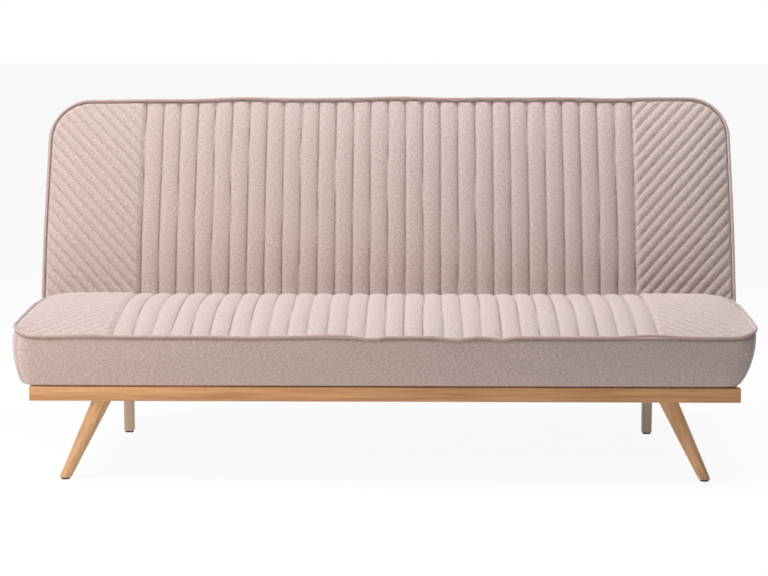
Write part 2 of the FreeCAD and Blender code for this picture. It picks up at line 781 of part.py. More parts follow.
def ribbed_block(crown, start, end):
    """Block under the crown: the ribs' puffed section turned about the crown's own axis."""
    centre_y, centre_z, radius = crown
    first = math.asin((start - centre_y) / radius)
    last = math.asin((end - centre_y) / radius)

    def at(x, drop):
        r = radius - drop
        return vec(x, centre_y + r * math.sin(first), centre_z + r * math.cos(first))

    flank = RIB_PITCH * RIB_FLANK
    points = [at(-FAR / 2, 0), at(-PANEL_HALF_WIDTH - GROOVE_HALF_WIDTH, 0)]
    for i in range(RIB_COUNT):
        x = -PANEL_HALF_WIDTH + i * RIB_PITCH
        points += [at(x, GROOVE_DEPTH), at(x + flank, 0), at(x + RIB_PITCH - flank, 0)]
    points += [at(PANEL_HALF_WIDTH, GROOVE_DEPTH), at(PANEL_HALF_WIDTH + GROOVE_HALF_WIDTH, 0)]
    points += [at(FAR / 2, 0), at(FAR / 2, BLOCK_DEPTH), at(-FAR / 2, BLOCK_DEPTH)]
    section = Part.Face(closed_polygon(points))
    return section.revolve(vec(0, centre_y, centre_z), vec(-1, 0, 0), math.degrees(last - first))


def straight_groove(first, last):
    """V groove between two points on the crown, deepest where the crown stands over it."""
    run = last - first
    side = vec(run.y, -run.x, 0).normalize()
    over = DIAGONAL_OVER
    grow = DIAGONAL_HALF_WIDTH * (DIAGONAL_DEPTH + over) / DIAGONAL_DEPTH
    top = first + vec(0, 0, over)
    apex = first - vec(0, 0, DIAGONAL_DEPTH)
    return solid_from(closed_polygon([top - side * grow, top + side * grow, apex]), run)


def diagonal_cutters(crown, start, end, outer, heading, sign):
    """Slanting grooves of one side panel. heading +1 runs outwards to the rear, -1 to the front."""
    inner = PANEL_HALF_WIDTH + DIAGONAL_SEAM_GAP
    width = outer - inner
    low = start if heading < 0 else start - width
    high = end + width if heading < 0 else end
    cutters = []
    for i in range(int((high - low) / DIAGONAL_PITCH)):
        seam_y = low + DIAGONAL_PITCH * (i + 0.5)
        limits = sorted((heading * (start - seam_y), heading * (end - seam_y)))
        begin = max(0.0, limits[0])
        finish = min(width, limits[1])
        if finish - begin < DIAGONAL_PITCH / 2:
            continue
        ends = []
        for reach in (begin, finish):
            y = seam_y + heading * reach
            ends.append(vec(sign * (inner + reach), y, crown_height(crown, y)))
        cutters.append(straight_groove(ends[0], ends[1]))
    return cutters


def quilted(form, crown, start, end, outer, heading):
    """Ribs across the middle of a cushion and slanting grooves at its two ends."""
    ribbed = form.common(ribbed_block(crown, start - RIB_PITCH, end + RIB_PITCH))
    near = start + DIAGONAL_EDGE_GAP
    far = end - DIAGONAL_EDGE_GAP
    right = diagonal_cutters(crown, near, far, outer, heading, 1)
    left = diagonal_cutters(crown, near, far, outer, heading, -1)
    return ribbed.cut(right + left)


def seat_cushion():
    foam = seat_form(0.0).common(box(-FAR / 2, FAR / 2, -FAR, FAR, SEAT_FOAM_BOTTOM, FAR))
    outer = SEAT_HALF_WIDTH - DIAGONAL_SIDE_GAP
    quilt = quilted(foam, seat_crown(), SEAT_FRONT, SEAT_REAR - SOFT_EDGE_R, outer, -1)
    return quilt.cut(seat_piping())


def seat_border():
    """Upholstered boxing below the foam: strips round the frame, open at the hinge arms."""
    ring = seat_form(0.0).cut(seat_form(BORDER))
    ring = ring.common(box(-FAR / 2, FAR / 2, -FAR, FAR, SEAT_BOTTOM, SEAT_FOAM_BOTTOM))
    gap = box(BACK_ARM_X - PLATE, SEAT_SIDE_FOOT - 2 * BORDER, SEAT_REAR - 2 * BORDER, FAR, 0, FAR)
    ring = ring.cut(both_sides(gap))
    corner_x = SEAT_SIDE_FOOT - 2 * BORDER
    cut_gap = OTHER_BODY_GAP
    splits = both_sides(box(corner_x, corner_x + cut_gap, -FAR, BOARD, 0, FAR))
    return ring.cut(splits).Solids


def seat_dust_cover():
    inset = BORDER + OTHER_BODY_GAP
    foot = SEAT_SIDE_FOOT - inset
    return box(-foot, foot, SEAT_FRONT_FOOT + inset, SEAT_REAR - inset, SEAT_BOTTOM, SEAT_BOTTOM + DUST_COVER)


def cord_section(centre, heading, up, radius):
    """Round section of the cord, with few sides."""
    rise = vec(up.x, up.y, up.z).normalize()
    across = heading.cross(rise).normalize()
    corners = []
    for i in range(CORD_SIDES):
        u, v = polar(radius, 360.0 / CORD_SIDES * (i + 0.5))
        corners.append(centre + rise * u + across * v)
    return Part.Face(closed_polygon(corners))


def piping(points, radius, corner_r):
    """Round cord along straight runs joined by arcs of corner_r at its inner points."""
    pieces = []
    last = points[0]
    for i in range(1, len(points) - 1):
        here = points[i]
        back = (points[i - 1] - here).normalize()
        on = (points[i + 1] - here).normalize()
        turn = math.acos(max(-1.0, min(1.0, -back.dot(on))))
        trim = corner_r * math.tan(turn / 2)
        start = here + back * trim
        centre = here + (back + on).normalize() * (corner_r / math.cos(turn / 2))
        axis = on.cross(back)
        pieces.append(cord_section(last, start - last, axis, radius).extrude(start - last))
        section = cord_section(start, start - last, axis, radius)
        pieces.append(section.revolve(centre, axis, math.degrees(turn)))
        last = here + on * trim
    run = points[-1] - last
    pieces.append(cord_section(last, run, axis, radius).extrude(run))
    return fused(pieces)


def seat_piping():
    """Cord round the seat's top edge, beside the cushion's edge and a little above it."""
    sit = PIPING_R * math.sqrt(0.5)
    out = SEAT_HALF_WIDTH + PIPING_R
    front = SEAT_FRONT - PIPING_R
    rear = SEAT_REAR - SEAT_REAR_CORNER_R
    points = [
        vec(-out, rear, SEAT_REAR_EDGE_Z + sit),
        vec(-out, front, SEAT_EDGE_Z + sit),
        vec(out, front, SEAT_EDGE_Z + sit),
        vec(out, rear, SEAT_REAR_EDGE_Z + sit),
    ]
    return piping(points, PIPING_R, SEAT_CORNER_R + PIPING_R)


# Seat frame
def seat_board_heights():
    return SEAT_BOTTOM + DUST_COVER, SEAT_FOAM_BOTTOM - WEBBING


def seat_board_front():
    low, high = seat_board_heights()
    half = EDGE_BOARD_INSIDE + EDGE_BOARD
    return box(-half, half, FRAME_FRONT, FRAME_FRONT + BOARD, low, high)


def seat_board_rear():
    low, high = seat_board_heights()
    rear = SEAT_REAR - BORDER
    inside = SEAT_ARM_X - BOARD
    return box(-inside, inside, rear - BOARD, rear, low, high)


def seat_boards_side():
    low, high = seat_board_heights()
    board = box(SEAT_ARM_X - BOARD, SEAT_ARM_X, FRAME_FRONT + BOARD, SEAT_REAR - BORDER, low, high)
    holes = [at_pin(bolt_hole_x(SEAT_ARM_X - BOARD, SEAT_ARM_X, y, z)) for y, z in seat_arm_bolt_places()]
    return both_sides(board.cut(holes))


def seat_boards_edge():
    low, high = seat_board_heights()
    inside = EDGE_BOARD_INSIDE
    return both_sides(box(inside, inside + EDGE_BOARD, FRAME_FRONT + BOARD, SEAT_REAR - BORDER, low, high))


def seat_boards_inner():
    low, high = seat_board_heights()
    half = BOARD / 2
    rear = SEAT_REAR - BORDER - BOARD
    board = box(INNER_BOARD_X - half, INNER_BOARD_X + half, FRAME_FRONT + BOARD, rear, low, high)
    return both_sides(board)


def webbing_places():
    step = WEBBING_SPREAD / (WEBBING_COUNT - 1)
    return [-WEBBING_SPREAD / 2 + i * step for i in range(WEBBING_COUNT)]


def seat_webbing():
    high = SEAT_FOAM_BOTTOM
    half = WEBBING_WIDTH / 2
    rear = SEAT_REAR - BORDER
    return [box(x - half, x + half, FRAME_FRONT, rear, high - WEBBING, high) for x in webbing_places()]


# Backrest, drawn lying flat about the hinge pin
def back_crown():
    half = (BACK_ABOVE_PIN + BACK_BELOW_PIN) / 2
    middle = BACK_ABOVE_PIN - half
    ends = ((-BACK_BELOW_PIN, BACK_FRONT_H), (BACK_ABOVE_PIN, BACK_FRONT_H))
    return circle_centre(ends[0], (middle, BACK_FRONT_H + BACK_CROWN), ends[1])


def back_crown_height(t):
    return crown_height(back_crown(), t)


def back_form(inset):
    """Outer form of the backrest under its crown, drawn in by inset on its ends and sides."""
    low = -BACK_BELOW_PIN + inset
    high = BACK_ABOVE_PIN - inset
    r = SOFT_EDGE_R
    diagonal = r * math.sqrt(0.5)
    x = -FAR / 2
    round_t = low + r
    round_h = back_crown_height(-BACK_BELOW_PIN + r) + SOFT_EDGE_OVER
    top_h = BACK_FRONT_H + BACK_CROWN + r
    rear_r = r / 2
    rear_diagonal = rear_r * math.sqrt(0.5)
    rear = BACK_REAR_H
    wire = chain(
        line(vec(x, round_t, round_h), vec(x, round_t, top_h)),
        line(vec(x, round_t, top_h), vec(x, high, top_h)),
        line(vec(x, high, top_h), vec(x, high, rear + rear_r)),
        arc(
            vec(x, high, rear + rear_r),
            vec(x, high - rear_r + rear_diagonal, rear + rear_r - rear_diagonal),
            vec(x, high - rear_r, rear),
        ),
        line(vec(x, high - rear_r, rear), vec(x, low + rear_r, rear)),
        arc(
            vec(x, low + rear_r, rear),
            vec(x, low + rear_r - rear_diagonal, rear + rear_r - rear_diagonal),
            vec(x, low, rear + rear_r),
        ),
        line(vec(x, low, rear + rear_r), vec(x, low, round_h - r)),
        arc(
            vec(x, low, round_h - r),
            vec(x, round_t - diagonal, round_h - r + diagonal),
            vec(x, round_t, round_h),
        ),
    )
    form = solid_from(wire, vec(FAR, 0, 0))
    return form.common(back_side_form(inset)).common(back_plan(inset))


def back_side_form(inset):
    edge = BACK_HALF_WIDTH - inset
    t = -FAR / 2
    top = BACK_FRONT_H + BACK_CROWN + PIPING_R
    mid_x = edge - SIDE_FALL_WIDTH * FALL_MIDDLE_IN
    mid_h = BACK_FRONT_H + (BACK_CROWN + PIPING_R) * FALL_MIDDLE_UP
    rear = BACK_REAR_H
    rear_r = SOFT_EDGE_R / 2
    cut = rear_r * (1 - math.sqrt(0.5))

    def side(sign):
        return [
            vec(sign * (edge - rear_r), t, rear),
            vec(sign * (edge - cut), t, rear + cut),
            vec(sign * edge, t, rear + rear_r),
            vec(sign * edge, t, BACK_FRONT_H),
            vec(sign * mid_x, t, mid_h),
            vec(sign * (edge - SIDE_FALL_WIDTH), t, top),
        ]

    left = side(-1)
    right = side(1)
    wire = chain(
        arc(right[0], right[1], right[2]),
        line(right[2], right[3]),
        arc(right[3], right[4], right[5]),
        line(right[5], left[5]),
        arc(left[5], left[4], left[3]),
        line(left[3], left[2]),
        arc(left[2], left[1], left[0]),
        line(left[0], right[0]),
    )
    return solid_from(wire, vec(0, FAR, 0))


def back_plan(inset):
    return rounded_plan(
        BACK_HALF_WIDTH - inset,
        -BACK_BELOW_PIN + inset,
        BACK_ABOVE_PIN - inset,
        SEAT_REAR_CORNER_R,
        BACK_CORNER_R - inset,
        -FAR / 4,
        FAR / 2,
    )


def hinge_notches():
    """Room in the lower edge for the hinge, open below and behind."""
    notch = box(
        HINGE_NOTCH_INSIDE,
        HINGE_NOTCH_OUTSIDE,
        -FAR,
        HINGE_NOTCH_TOP,
        -FAR,
        FACE_ABOVE_PIN - HINGE_NOTCH_SKIN,
    )
    return both_sides(notch)


def arm_pockets():
    """Room in the foam for the part of the back arm that comes forward to the pin."""
    pocket = box(
        BACK_ARM_X - BOARD - OTHER_BODY_GAP,
        HINGE_NOTCH_OUTSIDE,
        0,
        BACK_ARM_REACH + EYE_R,
        FOAM_REAR_H - BOARD,
        FACE_ABOVE_PIN - HINGE_NOTCH_SKIN,
    )
    return both_sides(pocket)


def back_cushion():
    foam = back_form(0.0).common(box(-FAR / 2, FAR / 2, -FAR, FAR, FOAM_REAR_H, FAR))
    foam = foam.cut(hinge_notches() + arm_pockets())
    start = -BACK_BELOW_PIN + SOFT_EDGE_R
    outer = BACK_HALF_WIDTH - DIAGONAL_SIDE_GAP
    return upright(quilted(foam, back_crown(), start, BACK_ABOVE_PIN, outer, 1))


def back_border():
    """Upholstered boxing behind the foam: strips round the frame, split at the corners."""
    ring = back_form(0.0).cut(back_plan(BORDER))
    ring = ring.common(box(-FAR / 2, FAR / 2, -FAR, FAR, COVER_H, FOAM_REAR_H))
    ring = ring.cut(hinge_notches())
    split_x = BACK_HALF_WIDTH - BACK_CORNER_R
    split_t = BACK_ABOVE_PIN - BACK_CORNER_R
    low_x = BACK_HALF_WIDTH - SEAT_REAR_CORNER_R - BORDER
    gap = OTHER_BODY_GAP
    splits = both_sides(box(split_x - gap, split_x, split_t, FAR, -FAR, FAR))
    splits += both_sides(box(split_x, FAR, split_t - gap, split_t, -FAR, FAR))
    splits += both_sides(box(low_x - gap, low_x, -FAR, 0, -FAR, FAR))
    return [upright(s) for s in ring.cut(splits).Solids]


def back_cover():
    panel = back_form(0.0).common(box(-FAR / 2, FAR / 2, -FAR, FAR, -FAR, COVER_H))
    return upright(panel.cut(hinge_notches()))


def back_piping():
    out = BACK_HALF_WIDTH + PIPING_R
    high = BACK_ABOVE_PIN + PIPING_R
    low = -BACK_BELOW_PIN + SOFT_EDGE_R
    h = BACK_FRONT_H
    points = [vec(-out, low, h), vec(-out, high, h), vec(out, high, h), vec(out, low, h)]
    return upright(piping(points, PIPING_R, BACK_CORNER_R + PIPING_R))


# Backrest frame
def back_board(x0, x1, t0, t1):
    return box(x0, x1, t0, t1, COVER_H, FOAM_REAR_H - WEBBING)


def back_frame_low():
    return -BACK_BELOW_PIN + BORDER


def back_frame_high():
    return BACK_ABOVE_PIN - BORDER


def back_board_bottom():
    low = back_frame_low()
    inside = BACK_ARM_X - BOARD
    return upright(back_board(-inside, inside, low, low + BOARD))


def back_board_top():
    high = back_frame_high()
    inside = BACK_ARM_X - BOARD
    return upright(back_board(-inside, inside, high - BOARD, high))


def back_boards_side():
    low = back_frame_low()
    high = back_frame_high() - OTHER_BODY_GAP
    board = back_board(BACK_ARM_X - BOARD, BACK_ARM_X, low, high)
    holes = [bolt_hole_x(BACK_ARM_X - BOARD, BACK_ARM_X, t, h) for t, h in back_arm_bolt_places()]
    return [upright(b) for b in both_sides(board.cut(holes))]


def back_edge_top():
    return BACK_ABOVE_PIN - BACK_CORNER_R - WING_BLOCK


def back_boards_edge():
    outside = BACK_EDGE_BOARD_X + BOARD
    board = back_board(BACK_EDGE_BOARD_X, outside, HINGE_NOTCH_TOP + WING_BLOCK, back_edge_top())
    return [upright(b) for b in both_sides(board)]


def back_wing_blocks():
    blocks = []
    top = back_edge_top()
    for start in (HINGE_NOTCH_TOP + BACK_ARM_LENGTH, top - WING_BLOCK):
        block = back_board(BACK_ARM_X, BACK_EDGE_BOARD_X, start, start + WING_BLOCK)
        blocks += [upright(b) for b in both_sides(block)]
    return blocks


def back_boards_inner():
    low = back_frame_low() + BOARD
    high = back_frame_high() - BOARD
    half = BOARD / 2
    board = back_board(INNER_BOARD_X - half, INNER_BOARD_X + half, low, high)
    return [upright(b) for b in both_sides(board)]


def back_webbing():
    low = back_frame_low()
    high = back_frame_high()
    half = WEBBING_WIDTH / 2
    front = FOAM_REAR_H
    return [upright(box(x - half, x + half, low, high, front - WEBBING, front)) for x in webbing_places()]


# The sofa, node by node
def sofa():
    nodes = {}
    hinge_bolts = hinge_plate_bolts()
    leg_bolts = both_sides(rear_leg_bolt(rear_leg_bolt_z()))
    nodes["front_rail"] = front_rail()
    nodes["rear_rail"] = rear_rail().cut(leg_bolts)
    nodes["side_rails"] = [rail.cut(hinge_bolts) for rail in side_rails()]
    nodes["cross_rails"] = cross_rails()
    nodes["corner_blocks"] = corner_blocks()
    nodes["leg_boards"] = leg_boards()
    nodes["leg_plates"] = leg_plates()
    nodes["leg_plate_screws"] = leg_plate_screws()
    nodes["front_leg_right"] = front_leg()
    nodes["front_leg_left"] = mirrored(front_leg())
    rear = rear_leg().cut(leg_bolts)
    nodes["rear_leg_right"] = rear
    nodes["rear_leg_left"] = mirrored(rear)
    nodes["rear_leg_bolts"] = leg_bolts
    nodes["foot_glides"] = foot_glides()
    nodes["seat_rest_pads"] = seat_rest_pads()
    nodes["back_rest_pads"] = back_rest_pads()

    nodes["hinge_plate_right"] = hinge_plate()
    nodes["hinge_plate_left"] = mirrored(hinge_plate())
    nodes["hinge_plate_bolts"] = hinge_bolts
    nodes["main_pins"] = main_pins()
    nodes["pawl_pins"] = pawl_pins()
    nodes["pawl_springs"] = pawl_springs()
    nodes["pawl_right"] = pawl()
    nodes["pawl_left"] = mirrored(pawl())

    nodes["seat_arm_right"] = seat_arm()
    nodes["seat_arm_left"] = mirrored(seat_arm())
    nodes["seat_arm_bolts"] = seat_arm_bolts()
    nodes["seat_board_front"] = seat_board_front()
    nodes["seat_board_rear"] = seat_board_rear()
    nodes["seat_boards_side"] = seat_boards_side()
    nodes["seat_boards_edge"] = seat_boards_edge()
    nodes["seat_boards_inner"] = seat_boards_inner()
    nodes["seat_webbing"] = seat_webbing()
    nodes["seat_dust_cover"] = seat_dust_cover()
    nodes["seat_border"] = seat_border()
    nodes["seat_cushion"] = seat_cushion()
    nodes["seat_piping"] = seat_piping()

    nodes["back_arm_right"] = back_arm()
    nodes["back_arm_left"] = mirrored(back_arm())
    nodes["back_arm_bolts"] = back_arm_bolts()
    nodes["back_board_bottom"] = back_board_bottom()
    nodes["back_board_top"] = back_board_top()
    nodes["back_boards_side"] = back_boards_side()
    nodes["back_boards_edge"] = back_boards_edge()
    nodes["back_wing_blocks"] = back_wing_blocks()
    nodes["back_boards_inner"] = back_boards_inner()
    nodes["back_webbing"] = back_webbing()
    nodes["back_cover"] = back_cover()
    nodes["back_border"] = back_border()
    nodes["back_cushion"] = back_cushion()
    nodes["back_piping"] = back_piping()
    return nodes


def write(nodes):
    os.makedirs("parts", exist_ok=True)
    shapes = {name: Part.Compound(s) if isinstance(s, list) else s for name, s in nodes.items()}
    extent = Part.Compound(list(shapes.values())).optimalBoundingBox(False, False)
    shift = -(extent.YMin + extent.YMax) / 2
    for name, shape in shapes.items():
        placed = shape.copy()
        placed.translate(vec(0, shift, 0))
        placed.exportStep(f"parts/{name}.step")
    print(f"size {extent.XLength:.1f} x {extent.YLength:.1f} x {extent.ZLength:.1f}")
    print(f"hinge pin at y {PIN_Y + shift:.2f} z {PIN_Z:.2f}")
    pin = pawl_pin()
    print(f"pawl pin at y {PIN_Y + shift + pin[0]:.2f} z {PIN_Z + pin[1]:.2f}")
    print(f"front glide at y {FRONT_LEG_FOOT_Y + shift:.2f}")


write(sofa())
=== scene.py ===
# %% [markdown]
# A click clack sofa bed: a wooden base on four legs, a quilted seat and a quilted backrest
# that reclines on a ratchet hinge at each end. The construction comes as a fixed frame of
# solids, and this file dresses it. Everything soft is modelled again here, because a solid
# has the right size but none of the softness. The wood and steel keep their solids where
# those look right, and get materials with grain and wear.

# %% Load the frame
import json
import math

import bpy
import numpy as np
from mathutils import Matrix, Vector


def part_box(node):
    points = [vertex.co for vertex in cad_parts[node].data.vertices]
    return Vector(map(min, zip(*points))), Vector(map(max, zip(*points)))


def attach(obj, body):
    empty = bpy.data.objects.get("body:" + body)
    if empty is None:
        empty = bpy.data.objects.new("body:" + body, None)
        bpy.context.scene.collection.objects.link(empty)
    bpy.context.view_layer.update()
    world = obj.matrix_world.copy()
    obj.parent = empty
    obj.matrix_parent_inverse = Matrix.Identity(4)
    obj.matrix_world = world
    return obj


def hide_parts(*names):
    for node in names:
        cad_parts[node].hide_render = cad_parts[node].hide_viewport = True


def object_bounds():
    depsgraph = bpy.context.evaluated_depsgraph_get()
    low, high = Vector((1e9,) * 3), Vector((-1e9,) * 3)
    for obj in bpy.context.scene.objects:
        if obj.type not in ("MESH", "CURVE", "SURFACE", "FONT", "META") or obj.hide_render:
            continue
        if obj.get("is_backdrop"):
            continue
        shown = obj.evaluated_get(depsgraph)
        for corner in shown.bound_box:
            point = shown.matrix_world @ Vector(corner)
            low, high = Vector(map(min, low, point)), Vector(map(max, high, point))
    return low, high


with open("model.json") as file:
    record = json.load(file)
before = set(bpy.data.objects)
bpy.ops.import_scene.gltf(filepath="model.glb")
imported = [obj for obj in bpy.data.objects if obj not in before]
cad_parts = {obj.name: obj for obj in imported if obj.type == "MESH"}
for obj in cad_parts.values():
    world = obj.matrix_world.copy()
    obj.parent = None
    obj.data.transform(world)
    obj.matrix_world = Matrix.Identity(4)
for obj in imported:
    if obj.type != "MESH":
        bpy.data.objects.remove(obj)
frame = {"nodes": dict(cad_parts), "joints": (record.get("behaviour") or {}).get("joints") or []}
cad_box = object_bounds()
nodes = frame["nodes"]
print("nodes", len(nodes), "box", [round(v, 3) for corner in cad_box for v in corner])

# %% [markdown]
# The hinge pin and the lean of the backrest are read from the joints, and the edges of the
# cushions from their solids. So the dressing follows the construction when a size changes.

# %% Measures
recline = next(joint for joint in frame["joints"] if joint["name"] == "backrest_recline")
PIN = Vector(recline["pos_m"])
LEAN = math.radians(90 - recline["range_deg"][1])
SEAT_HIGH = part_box("seat_cushion")[1]
SEAT_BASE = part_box("seat_border")[0].z
PIPING_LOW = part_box("seat_piping")[0]
PIPING_R = 0.0040
CORD_AND_SEAM = 0.0078
EDGE_ABOVE_CORD = 0.005
CROWN_ABOVE_SOLID = 0.015
REAR_ABOVE_EDGE = 0.040
SEAT_HALF = SEAT_HIGH.x
SEAT_FRONT = PIPING_LOW.y + CORD_AND_SEAM
SEAT_REAR = SEAT_HIGH.y
SEAT_EDGE = PIPING_LOW.z + EDGE_ABOVE_CORD
SEAT_SIDE_RISE = 0.030
SEAT_TOP = SEAT_HIGH.z + CROWN_ABOVE_SOLID
SEAT_TOP_REAR = SEAT_EDGE + REAR_ABOVE_EDGE
BACK_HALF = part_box("back_cushion")[1].x
BACK_LOW_T = -0.033
BACK_HIGH_T = 0.574
BACK_FACE = 0.045
BACK_REAR = -0.095
RIB_PITCH = 0.04625
SEAT_RIB_PITCH = 0.0467
RIB_COUNT = 28
DIAGONAL_PITCH = 0.0365
DIAGONAL_SLOPE = 1.12
VOXEL = RIB_PITCH / 6
print("seat", round(SEAT_FRONT, 4), round(SEAT_REAR, 4), "pin", [round(v, 4) for v in PIN])

# %% [markdown]
# An operator acts on whatever is selected, so nothing may be left selected by accident.
# Every piece below goes through the same few steps: clear the selection, pick the piece,
# shape it, and settle its place into its mesh so that the object itself sits at the origin.

# %% Selecting and shaping
def clear():
    """Deselect everything, so that an operator acts only on what is chosen next."""
    if bpy.context.mode != "OBJECT":
        bpy.ops.object.mode_set(mode="OBJECT")
    bpy.ops.object.select_all(action="DESELECT")


def pick(piece):
    clear()
    piece.select_set(True)
    bpy.context.view_layer.objects.active = piece
    return piece


def settle(piece):
    """Bake the piece's place into its mesh, so that the object sits at the origin."""
    pick(piece)
    bpy.ops.object.transform_apply(location=True, rotation=True, scale=True)
    return piece


def modify(piece, kind, **values):
    """Add one modifier with the given values and apply it."""
    pick(piece)
    modifier = piece.modifiers.new(kind.title(), kind)
    for name, value in values.items():
        setattr(modifier, name, value)
    bpy.ops.object.modifier_apply(modifier=modifier.name)
    return piece


def cube(name, low, high):
    """A primitive cube stretched between two corners."""
    clear()
    centre = [(a + b) / 2 for a, b in zip(low, high)]
    bpy.ops.mesh.primitive_cube_add(size=1, location=centre)
    piece = bpy.context.object
    piece.name = name
    piece.data.name = name
    piece.scale = [b - a for a, b in zip(low, high)]
    return settle(piece)


def choose(piece, mode, test):
    """Enter edit mode with only the edges, faces or vertices selected that pass the test."""
    pick(piece)
    bpy.ops.object.mode_set(mode="EDIT")
    bpy.ops.mesh.select_mode(type=mode)
    bpy.ops.mesh.select_all(action="DESELECT")
    bpy.ops.object.mode_set(mode="OBJECT")
    parts = {"VERT": piece.data.vertices, "EDGE": piece.data.edges, "FACE": piece.data.polygons}[mode]
    for part in parts:
        part.select = bool(test(part))
    bpy.ops.object.mode_set(mode="EDIT")


def finish_piece(piece, material, body, slot, *stands_for):
    """Give a piece its material, its body and the solids that it stands for."""
    piece.data.materials.clear()
    piece.data.materials.append(material)
    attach(piece, body)
    if stands_for:
        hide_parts(*stands_for)
    print(piece.name, len(piece.data.polygons), "faces on", body)
    return piece


print("helpers ready")

# %% [markdown]
# A finish here is a shader built of nodes. Wiring nodes by hand in code is long, so these
# helpers add one node each and give back the socket that carries its result. What several
# finishes share is a node group with named sockets, built once.

# %% Node helpers
def group(name, inputs, outputs):
    """An empty shader group with its named sockets."""
    tree = bpy.data.node_groups.new(name, "ShaderNodeTree")
    for label, kind, value in inputs:
        socket = tree.interface.new_socket(label, in_out="INPUT", socket_type=kind)
        if value is not None:
            socket.default_value = value
    for label, kind in outputs:
        tree.interface.new_socket(label, in_out="OUTPUT", socket_type=kind)
    return tree, tree.nodes.new("NodeGroupInput"), tree.nodes.new("NodeGroupOutput")


def wire(tree, source, target):
    tree.links.new(source, target)


def maths(tree, operation, first, second=None, clamp=False):
    """One Math node whose inputs are sockets or plain numbers."""
    node = tree.nodes.new("ShaderNodeMath")
    node.operation = operation
    node.use_clamp = clamp
    for place, value in enumerate((first, second)):
        if value is None:
            continue
        if isinstance(value, (int, float)):
            node.inputs[place].default_value = value
        else:
            wire(tree, value, node.inputs[place])
    return node.outputs[0]


def noise(tree, vector, scale, detail=2.0, roughness=0.5):
    node = tree.nodes.new("ShaderNodeTexNoise")
    node.inputs["Detail"].default_value = detail
    node.inputs["Roughness"].default_value = roughness
    if isinstance(scale, (int, float)):
        node.inputs["Scale"].default_value = scale
    else:
        wire(tree, scale, node.inputs["Scale"])
    wire(tree, vector, node.inputs["Vector"])
    return node.outputs["Fac"]


def stretch(tree, vector, scale, turn=(0.0, 0.0, 0.0)):
    node = tree.nodes.new("ShaderNodeMapping")
    node.inputs["Scale"].default_value = scale
    node.inputs["Rotation"].default_value = turn
    wire(tree, vector, node.inputs["Vector"])
    return node.outputs["Vector"]


def spread(tree, value, low, high, new_low=0.0, new_high=1.0):
    node = tree.nodes.new("ShaderNodeMapRange")
    for label, number in (("From Min", low), ("From Max", high), ("To Min", new_low), ("To Max", new_high)):
        node.inputs[label].default_value = number
    wire(tree, value, node.inputs["Value"])
    return node.outputs["Result"]


def blend_colour(tree, factor, first, second, way="MIX"):
    node = tree.nodes.new("ShaderNodeMix")
    node.data_type = "RGBA"
    node.blend_type = way
    if isinstance(factor, (int, float)):
        node.inputs["Factor"].default_value = factor
    else:
        wire(tree, factor, node.inputs["Factor"])
    for label, value in (("A", first), ("B", second)):
        socket = [s for s in node.inputs if s.name == label and s.type == "RGBA"][0]
        if isinstance(value, tuple):
            socket.default_value = value
        else:
            wire(tree, value, socket)
    return [s for s in node.outputs if s.type == "RGBA"][0]


print("node helpers ready")

# %% [markdown]
# The cover is a coarse melange weave. It could be one flat colour with a bump, but from a
# step away the eye sees the mixed yarns. So the group "woven yarn" makes cloth from one
# coordinate in metres: small bumps where warp and weft cross, and flecks of lighter and
# darker yarn along both directions. The coordinate follows each piece's own surface.

# %% Woven yarn
THREAD_GAP = 0.0013
FLECKS_ALONG = (120, 620, 300)
FLECKS_ACROSS = (620, 120, 300)
SLUB_SCALE = 240.0
# Dark tint that the cloth takes on where painted shade falls in seams and creases.
CREASE_SHADE = (0.30, 0.21, 0.18, 1)


def woven_yarn():
    tree, given, out = group(
        "woven yarn",
        [
            ("Cloth", "NodeSocketVector", None),
            ("Light", "NodeSocketColor", (0.7, 0.6, 0.55, 1)),
            ("Dark", "NodeSocketColor", (0.4, 0.3, 0.27, 1)),
            ("Painted Shade", "NodeSocketFloat", 0.0),
        ],
        [("Color", "NodeSocketColor"), ("Height", "NodeSocketFloat")],
    )
    cloth = given.outputs["Cloth"]
    split = tree.nodes.new("ShaderNodeSeparateXYZ")
    wire(tree, cloth, split.inputs[0])
    thread = math.pi / THREAD_GAP
    warp = maths(tree, "SINE", maths(tree, "MULTIPLY", split.outputs[0], thread))
    weft = maths(tree, "SINE", maths(tree, "MULTIPLY", split.outputs[1], thread))
    weave = maths(tree, "MULTIPLY", warp, weft)
    along = noise(tree, stretch(tree, cloth, FLECKS_ALONG), 1.0, 2.0, 0.7)
    across = noise(tree, stretch(tree, cloth, FLECKS_ACROSS), 1.0, 2.0, 0.7)
    flecks = maths(tree, "ADD", maths(tree, "MULTIPLY", along, 0.55), maths(tree, "MULTIPLY", across, 0.45))
    slub = noise(tree, cloth, SLUB_SCALE, 3.0, 0.6)
    tone = maths(tree, "ADD", spread(tree, flecks, 0.36, 0.64), maths(tree, "MULTIPLY", slub, 0.35))
    tone = maths(tree, "ADD", tone, maths(tree, "MULTIPLY", weave, 0.10))
    tone = maths(tree, "SUBTRACT", tone, 0.17, clamp=True)
    yarn = blend_colour(tree, tone, given.outputs["Dark"], given.outputs["Light"])
    # Painted shade: the yarn colour is multiplied towards the dark tint in seams and creases.
    shaded = blend_colour(tree, given.outputs["Painted Shade"], yarn, CREASE_SHADE, "MULTIPLY")
    wire(tree, shaded, out.inputs["Color"])
    height = maths(tree, "ADD", maths(tree, "MULTIPLY", weave, 0.5), maths(tree, "MULTIPLY", flecks, 0.9))
    wire(tree, height, out.inputs["Height"])
    return tree


YARN = woven_yarn()
print("group", YARN.name)


# %% Cloth finishes
def surface(name, roughness=0.5, metallic=0.0, sheen=0.0):
    """A material with its Principled shader, whose plain numbers sit on its own sockets."""
    material = bpy.data.materials.new(name)
    material.use_nodes = True
    tree = material.node_tree
    shader = tree.nodes["Principled BSDF"]
    shader.inputs["Roughness"].default_value = roughness
    shader.inputs["Metallic"].default_value = metallic
    if sheen:
        shader.inputs["Sheen Weight"].default_value = sheen
        shader.inputs["Sheen Roughness"].default_value = 0.6
    return material, tree, shader


